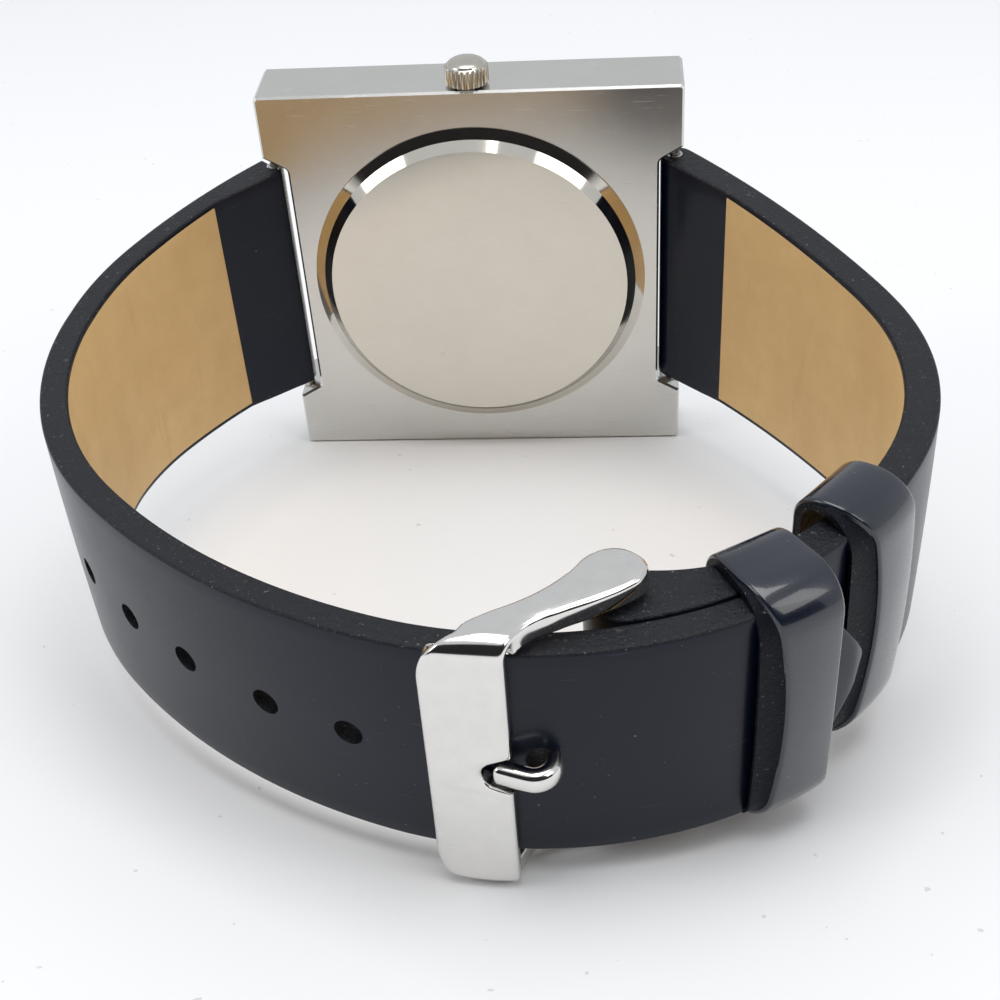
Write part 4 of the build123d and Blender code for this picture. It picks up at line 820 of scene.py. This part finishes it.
def edge_finish(name, shine):
    """Painted strap edge: black over rough-cut layers of leather, with pale specks where the paint wore."""
    finish, shader, spot = new_finish(name, Specular_IOR_Level=shine)
    depth = Wire(finish.node_tree, None).put("ShaderNodeAttribute", {"attribute_name": "depth"}, output=2)
    rough = spot.noise(2600.0, 4.0, 0.65)
    fine = spot.noise(9000.0, 2.0)
    layers = (depth * LAYERS + spot.noise(500.0, 3.0) * 0.5).maths("PINGPONG", 0.5).step(0.02, 0.12)
    worn = (spot.noise(3800.0, 3.0, 0.7) + rough * 0.3).step(0.80, 0.90)
    flecks = (spot.stretch((500, 500, 3800)).noise(1.0, 3.0) + (1 - layers) * 0.22).step(0.70, 0.80)
    # The lines between the layers are painted lighter: a painted reflection along the layer lines.
    line_sheen = ((1 - layers) * 0.7).blend(EDGE_DARK, EDGE_LINE_SHEEN)
    shade = (worn * 0.7 + flecks * 0.4).blend(line_sheen, EDGE_WORN)
    height = rough + fine * 0.4 + layers * 2.0
    connect(shader, Base_Color=shade, Roughness=0.30 + fine * 0.3, Normal=height.bump(1.0, 0.00012))
    return finish


black_leather = leather_finish("black_leather", (0.0020, 0.0050, 0.0150, 1), 0.22, 0.10, 0.21)
painted_edge = edge_finish("painted_edge", 0.3)

tip_place = polar_point(LONG_LINED_ARCS[0][0], TIP_POLAR)
long_stations = walk_arcs(tip_place, TIP_POLAR - 90, -1, LONG_LINED_ARCS)
long_pairs = []
for spot, inward, walked in long_stations:
    half = min(half_width(spot), tip_reach(walked))
    thin = min(1.0, TIP_THIN + TIP_SWELL * walked / TIP_TAPER)
    slim = LONG_THICKNESS * (1 - thin) / 2
    long_pairs.append((spot + inward * slim, spot + inward * (LONG_THICKNESS - slim), half))
long_heading = TIP_POLAR - 90 - sum(turn for _, turn in LONG_LINED_ARCS)
long_pairs = long_pairs + lug_end(long_stations, long_heading, -1, LONG_END_ARC, LONG_THICKNESS)
section_depths = [depth / LONG_THICKNESS for _, depth in strap_section(half_width(tip_place), LONG_THICKNESS)]
strap_long = lofted_piece("strap_long", strap_rings(long_pairs), [black_leather, painted_edge],
                          strap_picks(), section_depths)


def tube_piece(name, centre, axis, radius, length, material):
    """A plain closed rod used to cut a round hole."""
    axis = axis.normalized()
    first = axis.orthogonal().normalized()
    second = axis.cross(first)
    rings = []
    for end in (-length / 2, length / 2):
        ring = []
        for side in range(ROUND_SIDES):
            angle = 2 * math.pi * side / ROUND_SIDES
            ring.append(centre + axis * end + (first * math.cos(angle) + second * math.sin(angle)) * radius)
        rings.append(ring)
    return lofted_piece(name, rings, [material])


def upright_rod(name, x, y, radius, length, material):
    """A cutting rod along the crown's direction, centred on the watch's middle."""
    return tube_piece(name, Vector((x, y, MIDDLE_Z)), UP, radius, length, material)


def cut_away(piece, cutters):
    """Cut other closed pieces out of one, and remove them."""
    for cutter in cutters:
        knife = piece.modifiers.new("cut", "BOOLEAN")
        knife.operation = "DIFFERENCE"
        knife.solver = "EXACT"
        knife.object = cutter
        knife.material_mode = "TRANSFER"
    settled = settled_mesh(piece)
    piece.modifiers.clear()
    piece.data = settled
    for cutter in cutters:
        bpy.data.objects.remove(cutter)


def hole_rods():
    """A rod through each buckle hole of the long strap, with the paint of the hole's wall."""
    rods = []
    wanted = math.radians(TIP_POLAR - TANG_HOLE_POLAR) * LONG_LINED_ARCS[0][0]
    for spot, inward, walked in long_stations:
        if walked >= wanted and len(rods) < HOLE_COUNT:
            radius = HOLE_RADIUS if rods else TANG_HOLE_RADIUS
            place = spot + Vector((-inward.y, inward.x)) * (walked - wanted)
            rods.append(tube_piece(f"hole_rod_{len(rods)}", standing(place), Vector((inward.x, inward.y, 0)),
                                   radius, HOLE_ROD_LENGTH, painted_edge))
            wanted = wanted + HOLE_PITCH
    return rods


bar_rod = upright_rod("bar_rod", -LUG_BAR_X, LUG_BAR_Y, BAR_HOLE_RADIUS, BAR_ROD_LENGTH, painted_edge)
cut_away(strap_long, [bar_rod] + hole_rods())
shade_round(strap_long, LEATHER_SHARP)
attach(strap_long, "watch")
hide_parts("strap_long_leather")

# Short strap: the same leather, folded round the buckle's bar and glued down as a wedge on the wrist side,
# with a slot in the fold for the tang.

SHORT_RADIUS = 31.0
SHORT_THICKNESS = 2.73
FOLD_POLAR = -77.5
FOLD_RADIUS = 2.6
WEDGE_POLAR = -52.0
ROUND_END_POLAR = -24.0
SHORT_LINED_ARCS = ((25.1, 50.9), (103.7, 10.06))
SHORT_LUG_ARC = (103.7, 4.42)
SLOT_BACK = 3.8
SLOT_FRONT = 2.2
SLOT_REACH = 4
TANG_SLOT_HALF = 1.1

buckle_bar = polar_point(SHORT_RADIUS - FOLD_RADIUS, FOLD_POLAR)
fold_stations = walk_arcs(polar_point(SHORT_RADIUS, FOLD_POLAR), FOLD_POLAR + 90, 1,
                          [(SHORT_RADIUS, WEDGE_POLAR - FOLD_POLAR)])
wedge_inward = fold_stations[-1][1]
wedge_point = fold_stations[-1][0] + wedge_inward * SHORT_THICKNESS
wedge_centre, wedge_radius = touching_circle(wedge_point, wedge_inward, buckle_bar, -FOLD_RADIUS)
fold_touch = buckle_bar + (wedge_centre - buckle_bar).normalized() * FOLD_RADIUS
short_pairs = [(outer, inner, half_width(buckle_bar)) for outer, inner in
               reversed(round_end(fold_stations[0][0], fold_touch, buckle_bar, FOLD_RADIUS))]
touch_angle = bearing(fold_touch, wedge_centre)
wedge_angle = bearing(wedge_point, wedge_centre)
for number, (spot, inward, walked) in enumerate(fold_stations):
    angle = touch_angle + (wedge_angle - touch_angle) * number / (len(fold_stations) - 1)
    short_pairs.append((spot, wedge_centre + direction(angle) * wedge_radius, half_width(spot)))
short_stations = walk_arcs(fold_stations[-1][0], WEDGE_POLAR + 90, 1,
                           [(SHORT_RADIUS, ROUND_END_POLAR - WEDGE_POLAR), *SHORT_LINED_ARCS])
for spot, inward, walked in short_stations[1:]:
    short_pairs.append((spot, spot + inward * SHORT_THICKNESS, half_width(spot)))
short_heading = ROUND_END_POLAR + 90 + sum(turn for _, turn in SHORT_LINED_ARCS)
short_pairs = short_pairs + lug_end(short_stations, short_heading, 1, SHORT_LUG_ARC, SHORT_THICKNESS)
strap_short = lofted_piece("strap_short", strap_rings(short_pairs), [black_leather, painted_edge],
                           strap_picks(), section_depths)
slot_corners = ((-SLOT_BACK, -SLOT_REACH), (SLOT_FRONT, -SLOT_REACH), (SLOT_FRONT, SLOT_REACH),
                (-SLOT_BACK, SLOT_REACH))
slot_rings = [[Vector((buckle_bar.x + x, buckle_bar.y + y, MIDDLE_Z + z)) for x, y in slot_corners]
              for z in (-TANG_SLOT_HALF, TANG_SLOT_HALF)]
cut_away(strap_short, [
    upright_rod("bar_rod", LUG_BAR_X, LUG_BAR_Y, BAR_HOLE_RADIUS, BAR_ROD_LENGTH, painted_edge),
    upright_rod("buckle_rod", buckle_bar.x, buckle_bar.y, BAR_HOLE_RADIUS, BAR_ROD_LENGTH, painted_edge),
    lofted_piece("slot_block", slot_rings, [painted_edge]),
])
shade_round(strap_short, LEATHER_SHARP)
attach(strap_short, "watch")
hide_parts("strap_short_leather")

# Linings: thin tan leather, glued to the wrist side of each half and trimmed a little inside its edges, so
# that the black edge frames it.

LINING_SKIN = 0.3
LINING_PROUD = 0.05
LINING_INSET = 0.45
LINING_BEVEL = 0.06
LINING_BEVEL_SHARE = 0.985
LINING_SECTION = ((-1, LINING_BEVEL), (-LINING_BEVEL_SHARE, 0), (LINING_BEVEL_SHARE, 0), (1, LINING_BEVEL),
                  (1, LINING_SKIN), (-1, LINING_SKIN))
NARROWEST_LINING = 0.3
LINING_SKIPPED = 3
TAN_DARK = (0.64, 0.415, 0.175, 1)
TAN_LIGHT = (0.77, 0.525, 0.24, 1)
TAN_STAIN = (0.54, 0.33, 0.13, 1)
# Painted shade: the darker colour given to the lining's creases and pores.
TAN_CREASE_SHADE = (0.36, 0.20, 0.08, 1)


def lining_finish():
    """Tan lining leather: warm and matt, mottled, with pores and a few creases across the strap painted
    darker as shade.
    """
    finish, shader, spot = new_finish("tan_leather")
    pores = spot.noise(4200.0, 4.0, 0.6)
    mottle = spot.noise(330.0, 4.0, 0.6)
    stain = spot.noise(90.0, 2.0)
    creases = spot.stretch((900, 900, 110)).noise(1.0, 3.0).step(0.60, 0.78)
    worn = (stain.step(0.40, 0.75) * 0.4).blend(mottle.blend(TAN_DARK, TAN_LIGHT), TAN_STAIN)
    # Creases and pores are painted darker: painted shade in them.
    shade = (creases * 0.12 + pores.step(0.62, 0.75) * 0.25).blend(worn, TAN_CREASE_SHADE)
    connect(shader, Base_Color=shade, Roughness=0.46 + pores * 0.2,
            Normal=(pores * 0.7 + mottle * 0.3 - creases * 0.6).bump(0.6, 0.00006))
    return finish


def lining_rings(stations, thickness, reach=None):
    """Rings of a thin strip on the wrist side of a strap."""
    rings = []
    for spot, inward, walked in stations:
        half = half_width(spot) - LINING_INSET
        if reach:
            half = max(NARROWEST_LINING, min(half, reach(walked) - LINING_INSET))
        rings.append([standing(spot + inward * (thickness + LINING_PROUD - depth), across * half)
                      for across, depth in LINING_SECTION])
    return rings


tan_leather = lining_finish()
lined_stations = long_stations[LINING_SKIPPED:]
long_lining = lofted_piece("lining_long", lining_rings(lined_stations, LONG_THICKNESS, tip_reach),
                           [tan_leather, tan_leather])
cut_away(long_lining, hole_rods())
short_lining = lofted_piece("lining_short", lining_rings(short_stations, SHORT_THICKNESS),
                            [tan_leather, tan_leather])
for piece, node in ((long_lining, "strap_long_lining"), (short_lining, "strap_short_lining")):
    shade_round(piece, LEATHER_SHARP)
    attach(piece, "watch")
    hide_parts(node)

# Keepers: bands of the same leather, folded and glued into oval loops that hold the tail down. The one by
# the buckle is fixed to the short strap; the other slides. Their fronts are pulled askew and stand off the
# strap.

FIXED_KEEPER = ("fixed_keeper", "watch", (-64.0, -52.6), (3.2, -1.0), (34.15, 27.0), 10.45, 0.9)
FREE_KEEPER = ("free_keeper", "free_keeper", (-46.4, -34.4), (5.4, 1.6), (31.45, 26.4), 10.8, 0.9)
KEEPER_FRONT_BEND = 2.6
KEEPER_BACK_BEND = 1.9
KEEPER_BULGE = 0.4
KEEPER_BEND_STEPS = 8
KEEPER_GAP = 0.9
KEEPER_CROWN = 0.08
KEEPER_ROUND = 0.3
KEEPER_FACE_STEPS = 10
KEEPER_LIP = 0.25
LIP_STEPS = 5
LIP_SPREAD = 0.6
LIP_RISE = 2.5
SKEW_FADE = 0.5
SLACK_ANGLE = 2
POLISHED_SHARP = 50


def band_loop(front, back, half):
    """Rounded rectangle of (radius, height) points, each with its direction out, bulged at its front."""
    spots = []
    quarters = ((front, 1, 1, 0), (back, -1, 1, 90), (back, -1, -1, 180), (front, 1, -1, 270))
    for radius, side, up, start in quarters:
        bend = KEEPER_FRONT_BEND if side > 0 else KEEPER_BACK_BEND
        for step in range(KEEPER_BEND_STEPS + 1):
            angle = math.radians(start + 90 * step / KEEPER_BEND_STEPS)
            out = (math.cos(angle), math.sin(angle))
            spots.append((radius + (out[0] - side) * bend, up * (half - bend) + out[1] * bend, out))
    filled = []
    for number, (radius, height, out) in enumerate(spots):
        filled.append((radius, height, out))
        if number % (KEEPER_BEND_STEPS + 1) == KEEPER_BEND_STEPS:
            next_radius, next_height, _ = spots[(number + 1) % len(spots)]
            pieces = round(math.hypot(next_radius - radius, next_height - height) / KEEPER_GAP)
            for step in range(1, pieces):
                share = step / pieces
                filled.append((radius + (next_radius - radius) * share,
                               height + (next_height - height) * share, out))
    bulged = []
    for radius, height, out in filled:
        share = max(0.0, (radius - back) / (front - back))
        bulge = KEEPER_BULGE * share ** 3 * (1 - (height / half) ** 2)
        bulged.append((radius + bulge, height, out, share))
    return bulged


def keeper_section(left, rim, right, thick, radius):
    """Ring of (angle, lift) points: the outer face from rim to right edge, then back under to the lip."""
    round_angle = math.degrees(KEEPER_ROUND / radius)
    top = thick / 2
    section = []
    for step in range(KEEPER_FACE_STEPS + 1):
        share = step / KEEPER_FACE_STEPS
        section.append((rim + round_angle + (right - rim - 2 * round_angle) * share,
                        top - KEEPER_CROWN * (2 * share - 1) ** 2))
    for turn in CORNER_ANGLES:
        section.append((right - round_angle * (1 - math.sin(turn)),
                        top - KEEPER_CROWN - KEEPER_ROUND * (1 - math.cos(turn))))
    section.append((right, -top))
    section.append((left, -top))
    slack = min(1.0, (rim - left) / SLACK_ANGLE)
    lip = -top + KEEPER_LIP + (top * 2 - KEEPER_LIP - KEEPER_ROUND) * (1 - slack)
    rim_low = top - KEEPER_CROWN - KEEPER_ROUND
    for step in range(LIP_STEPS + 1):
        share = step / LIP_STEPS
        section.append((left + (rim - left) * share ** LIP_SPREAD, lip + (rim_low - lip) * share ** LIP_RISE))
    for turn in CORNER_ANGLES[:-1]:
        section.append((rim + round_angle * (1 - math.cos(turn)),
                        top - KEEPER_CROWN - KEEPER_ROUND * (1 - math.sin(turn))))
    return section


def keeper_piece(name, body, span, skew, band, half, thick):
    """A keeper: its leather section carried round the band's loop, askew towards its front.

    The span holds the angles of its two edges, the skew how far each is pulled at the front, and the band
    the radii of the loop's front and back.
    """
    loop = band_loop(*band, half)
    points = []
    for radius, height, out, share in loop:
        front = share ** 2 * (1 - SKEW_FADE * (height / half) ** 2)
        left = span[0]
        rim = span[0] + skew[0] * front
        right = span[1] + skew[1] * front
        for angle, lift in keeper_section(left, rim, right, thick, band[0]):
            place = polar_point(radius + out[0] * lift, angle)
            points.append(Vector((place.x, place.y, MIDDLE_Z + height + out[1] * lift)))
    count = len(points) // len(loop)
    # The lip's faces take the black edge paint: a painted shade for the hollow under the keeper's edge.
    first_lip = KEEPER_FACE_STEPS + 1 + CORNER_STEPS
    last_lip = first_lip + 2 + LIP_STEPS
    slots = [1 if first_lip <= spot < last_lip else 0 for spot in range(count)] * len(loop)
    faces = skin_faces(len(loop), count, closed=True)
    piece = mesh_piece(name + "_band", points, faces, [keeper_leather, lip_shade_edge])
    piece.data.polygons.foreach_set("material_index", slots)
    outward(piece)
    shade_round(piece, POLISHED_SHARP)
    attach(piece, body)
    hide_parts(name)


keeper_leather = leather_finish("keeper_leather", (0.0045, 0.0080, 0.0190, 1), 0.17, 0.9, 0.34)
# Black edge paint with little shine on the keeper's wide sloped lip, as painted shade for the hollow under
# it.
lip_shade_edge = edge_finish("keeper_lip_shade", 0.1)
keeper_piece(*FIXED_KEEPER)
keeper_piece(*FREE_KEEPER)

# Buckle: pressed and polished steel, one strip: a front plate with a rest for the tang, bent at both ends
# into flared arms that carry the bar.

PLATE_OUTER = 35.2
PLATE_INNER = 33.6
PLATE_SPAN = (-101.5, -91.9)
BUCKLE_HALF = 12.0
BEND = 1.5
ARM_THICKNESS = 1.9
NOTCH_DEPTH = 2.1
NOTCH_HALF = 1.55
CORNER_START = 8.3
CORNER_POWER = 2.2
WRIST_SIDE = ((2.75, -64.67), (3.15, -64.01), (4.6, -62.95), (6.42, -61.95), (8.15, -60.76), (9.9, -59.06),
              (11.3, -57.32), (12.99, -56.75), (14.29, -57.36), (15.04, -58.35), (15.15, -59.12))
OUTER_SIDE = ((6.75, -64.95), (7.88, -63.87), (9.48, -63.0), (11.96, -61.75), (13.86, -60.6), (14.69, -59.9),
              (15.15, -59.12))
LOWER_OUTER_SIDE = ((6.0, -64.85), (7.4, -62.7), (9.48, -61.9), (11.96, -61.1), (13.86, -60.2),
                    (14.69, -59.7), (15.15, -59.12))
ARM_ROWS = 40
FIRST_ARM_ROW = 2
ARM_THIN = 0.35
ARM_TAPER = 2.2
BEND_ROWS = 10
PLATE_ROWS = 72
STRIP_ROUND = 0.42
STRIP_CROWN = 0.12
STRIP_STEPS = 14
STRIP_SHARES = (0.45, 0.48)
LINE_FINENESS = 24
SHORTEST_STEP = 1e-9
NARROWEST_ROW = 0.15
PIN_HOLE = 0.5
PIN_ROD_LENGTH = 22.4


def smooth_line(points, count):
    """Points along a smooth line through flat ones, close to evenly spaced."""
    line = bpy.data.curves.new("line", "CURVE")
    line.dimensions = "3D"
    spline = line.splines.new("BEZIER")
    spline.bezier_points.add(len(points) - 1)
    for knot, point in zip(spline.bezier_points, points):
        knot.co = (*point, 0)
        knot.handle_left_type = knot.handle_right_type = "AUTO"
    line.resolution_u = LINE_FINENESS
    holder = new_object("line", line)
    dense = [vertex.co.copy() for vertex in settled_mesh(holder).vertices]
    bpy.data.objects.remove(holder)
    lengths = [0.0]
    for first, second in zip(dense, dense[1:]):
        lengths.append(lengths[-1] + (second - first).length)
    line_points = []
    place = 0
    for step in range(count + 1):
        wanted = lengths[-1] * step / count
        while place < len(dense) - 2 and lengths[place + 1] < wanted:
            place = place + 1
        share = (wanted - lengths[place]) / max(SHORTEST_STEP, lengths[place + 1] - lengths[place])
        line_points.append(dense[place].lerp(dense[place + 1], min(1.0, share)))
    return line_points


def strip_ring(left, right, out_left, out_right, thickness, rounding):
    """Ring round a strip from its left to its right edge on the outer face, and back on the inner face."""
    span = (right - left).length
    ring = []
    edge = min(rounding, span * STRIP_SHARES[0], thickness * STRIP_SHARES[1])
    profile = []
    for step in range(STRIP_STEPS + 1):
        across = -1 + 2 * step / STRIP_STEPS
        profile.append((0.5 + across * (0.5 - edge / span), STRIP_CROWN * across ** 2))
    corner = []
    for angle in CORNER_ANGLES:
        corner.append((1 - edge / span + edge / span * math.sin(angle),
                       STRIP_CROWN + edge - edge * math.cos(angle)))
    under = [(share, thickness - depth + STRIP_CROWN) for share, depth in reversed(corner)]
    flat = []
    for step in range(STRIP_STEPS + 1):
        flat.append((0.5 - (-1 + 2 * step / STRIP_STEPS) * (0.5 - edge / span), thickness))
    mirrored_under = [(1 - share, depth) for share, depth in reversed(under)]
    mirrored_corner = [(1 - share, depth) for share, depth in reversed(corner)]
    for share, depth in profile + corner + under + flat + mirrored_under + mirrored_corner:
        out = out_left.lerp(out_right, min(1.0, max(0.0, share))).normalized()
        ring.append(left.lerp(right, share) - out * depth)
    return ring


def plate_out(x):
    """Direction out of the plate at an x, flat, and the y of its outer face there."""
    height = math.sqrt(PLATE_OUTER ** 2 - (x - LOOP_X) ** 2)
    return Vector(((x - LOOP_X) / PLATE_OUTER, -height / PLATE_OUTER, 0)), LOOP_Y - height


def plate_edges(height):
    """The plate's left and right x at a height from its middle; the tang's rest is cut into the right."""
    left = LOOP_X + PLATE_OUTER * math.cos(math.radians(PLATE_SPAN[0]))
    right = LOOP_X + PLATE_OUTER * math.cos(math.radians(PLATE_SPAN[1]))
    inside = max(0.0, 1 - (height / NOTCH_HALF) ** 2)
    return left, right - NOTCH_DEPTH * math.sqrt(inside)


def cut_corner(left, walked):
    """The plate's left x where its corner sweeps in towards the arm, by the length walked from its middle."""
    arc_end = BUCKLE_HALF - BEND + BEND * math.pi / 2
    share = max(0.0, (walked - CORNER_START) / (arc_end - CORNER_START))
    return left + (WRIST_SIDE[0][0] - left) * share ** CORNER_POWER


def plate_row(left, right, height, angle, thickness):
    """A row across the plate at a height from its middle, or that far up and then an angle round its bend."""
    spots = []
    outs = []
    for x in (left, right):
        out, y = plate_out(x)
        rise = MIDDLE_Z + height + BEND * math.sin(angle)
        spots.append(Vector((x, y + BEND * (1 - math.cos(angle)), rise)))
        outs.append(out * math.cos(angle) + UP * math.sin(angle))
    return (*spots, *outs, thickness)


def arm_rows(outer_side):
    """Rows from the end of the plate's straight part over a bend and along an arm, as on the crown side."""
    wrist_line = smooth_line(WRIST_SIDE, ARM_ROWS)
    outer_line = smooth_line(outer_side, ARM_ROWS)
    straight = BUCKLE_HALF - BEND
    plate_thickness = PLATE_OUTER - PLATE_INNER
    plate_left, plate_right = plate_edges(straight)
    rows = []
    for row in range(BEND_ROWS + 1):
        angle = math.pi / 2 * row / BEND_ROWS
        left = cut_corner(plate_left, straight + BEND * angle)
        right = plate_right + (outer_side[0][0] - plate_right) * (1 - math.cos(angle))
        thickness = plate_thickness + (ARM_THICKNESS - plate_thickness) * row / BEND_ROWS
        rows.append(plate_row(left, right, straight, angle, thickness))
    for row in range(FIRST_ARM_ROW, ARM_ROWS + 1):
        left = standing(wrist_line[row], BUCKLE_HALF)
        right = standing(outer_line[row], BUCKLE_HALF)
        thickness = ARM_THICKNESS * min(1.0, ARM_THIN + (right - left).length / ARM_TAPER)
        sink = UP * (ARM_THICKNESS - thickness) / 2
        rows.append((left - sink, right - sink, UP, UP, thickness))
    return rows


def buckle_rings():
    """Rings of the whole strip, from the end of the lower arm over the plate to the end of the upper arm."""
    straight = BUCKLE_HALF - BEND
    plate = []
    for row in range(1, PLATE_ROWS):
        height = -straight + 2 * straight * row / PLATE_ROWS
        left, right = plate_edges(height)
        plate.append(plate_row(cut_corner(left, abs(height)), right, height, 0.0, PLATE_OUTER - PLATE_INNER))
    lower = []
    for left, right, out_left, out_right, thickness in reversed(arm_rows(LOWER_OUTER_SIDE)):
        flipped = [Vector((spot.x, spot.y, 2 * MIDDLE_Z - spot.z)) for spot in (left, right)]
        outs = [Vector((out.x, out.y, -out.z)) for out in (out_left, out_right)]
        lower.append((*flipped, *outs, thickness))
    rows = lower + plate + arm_rows(OUTER_SIDE)
    return [strip_ring(*row, STRIP_ROUND) for row in rows if (row[1] - row[0]).length > NARROWEST_ROW]


polished_steel = steel_finish("polished_steel", (0.80, 0.785, 0.76, 1), 0.06, 700.0)
buckle = lofted_piece("buckle", buckle_rings(), [polished_steel])
pin_rod = upright_rod("pin_rod", buckle_bar.x, buckle_bar.y, PIN_HOLE, PIN_ROD_LENGTH, polished_steel)
cut_away(buckle, [pin_rod])
shade_round(buckle, POLISHED_SHARP)
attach(buckle, "buckle")
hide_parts("buckle_frame")

# Tang: one pin of polished steel, rolled round the bar and bent twice, so that it comes out of the hole and
# lies in its rest on the plate.

TANG_POINTS = ((-1.1, -0.45), (10.3, -60.3), (8.72, -62.1), (8.72, -67.0), (4.75, -65.65))
TANG_BEND = 1.25
TANG_WIDTH = 1.85
TANG_THICKNESS = 1.4
TANG_RING = 1.5
TANG_TIP_WIDTH = 1.7
TANG_ROWS = 90
TANG_SIDES = 20
TANG_ROLL_ROUND = 0.2
TIP_ROUNDING = 26
TIP_START = 0.02
OVAL_POWER = 0.82
CORNER_ARC_STEPS = 8


def rounded_corners(points, radius):
    """A line of points with its corners rounded by arcs."""
    line = [points[0]]
    for before, corner, after in zip(points, points[1:], points[2:]):
        first = (before - corner).normalized()
        second = (after - corner).normalized()
        half = math.acos(max(-1.0, min(1.0, first.dot(second)))) / 2
        reach = radius / math.tan(half)
        centre = corner + (first + second).normalized() * radius / math.sin(half)
        start = corner + first * reach - centre
        stop = corner + second * reach - centre
        sweep = start.angle_signed(stop)
        for step in range(CORNER_ARC_STEPS + 1):
            line.append(centre + Matrix.Rotation(-sweep * step / CORNER_ARC_STEPS, 2) @ start)
    line.append(points[-1])
    return line


def tang_rings():
    """Rings of the tang along its bends, flattened ovals that narrow to a rounded tip."""
    start = Vector((buckle_bar.x + TANG_POINTS[0][0], buckle_bar.y + TANG_POINTS[0][1]))
    corners = [start] + [Vector(point) for point in TANG_POINTS[1:]]
    line = smooth_line([tuple(point) for point in rounded_corners(corners, TANG_BEND)], TANG_ROWS)
    rings = []
    for row, spot in enumerate(line):
        before = line[max(0, row - 1)]
        after = line[min(TANG_ROWS, row + 1)]
        along = (after - before).normalized()
        side = Vector((-along.y, along.x, 0))
        share = row / TANG_ROWS
        end = min(1.0, (1 - share) * TIP_ROUNDING + TIP_START)
        fullness = math.sqrt(1 - (1 - end) ** 2)
        width = (TANG_WIDTH + (TANG_TIP_WIDTH - TANG_WIDTH) * max(0.0, share * 2 - 1)) * fullness
        thick = TANG_THICKNESS * fullness
        ring = []
        for step in range(TANG_SIDES):
            angle = 2 * math.pi * step / TANG_SIDES
            ways = (math.cos(angle), math.sin(angle))
            bulge = [math.copysign(abs(value) ** OVAL_POWER, value) for value in ways]
            ring.append(standing(spot) + side * bulge[0] * thick / 2 + UP * bulge[1] * width / 2)
        rings.append(ring)
    return rings


def ring_piece(name, centre, outer, inner, half, rounding, material):
    """A short polished tube about the crown's direction, with rounded edges."""
    profile = [(inner, -half), (outer - rounding, -half), (outer, -half + rounding), (outer, half - rounding),
               (outer - rounding, half), (inner, half)]
    points = []
    for side in range(ROUND_SIDES):
        angle = 2 * math.pi * side / ROUND_SIDES
        for radius, height in profile:
            points.append(Vector((centre.x + radius * math.cos(angle), centre.y + radius * math.sin(angle),
                                  MIDDLE_Z + height)))
    piece = mesh_piece(name, points, skin_faces(ROUND_SIDES, len(profile), closed=True), [material])
    outward(piece)
    return piece


tang_pin = lofted_piece("tang_pin", tang_rings(), [polished_steel])
tang_roll = ring_piece("tang_roll", buckle_bar, TANG_RING, BAR_HOLE_RADIUS, TANG_WIDTH / 2, TANG_ROLL_ROUND,
                       polished_steel)
for piece in (tang_pin, tang_roll):
    shade_round(piece, POLISHED_SHARP)
    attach(piece, "tang")
    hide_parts("tang")
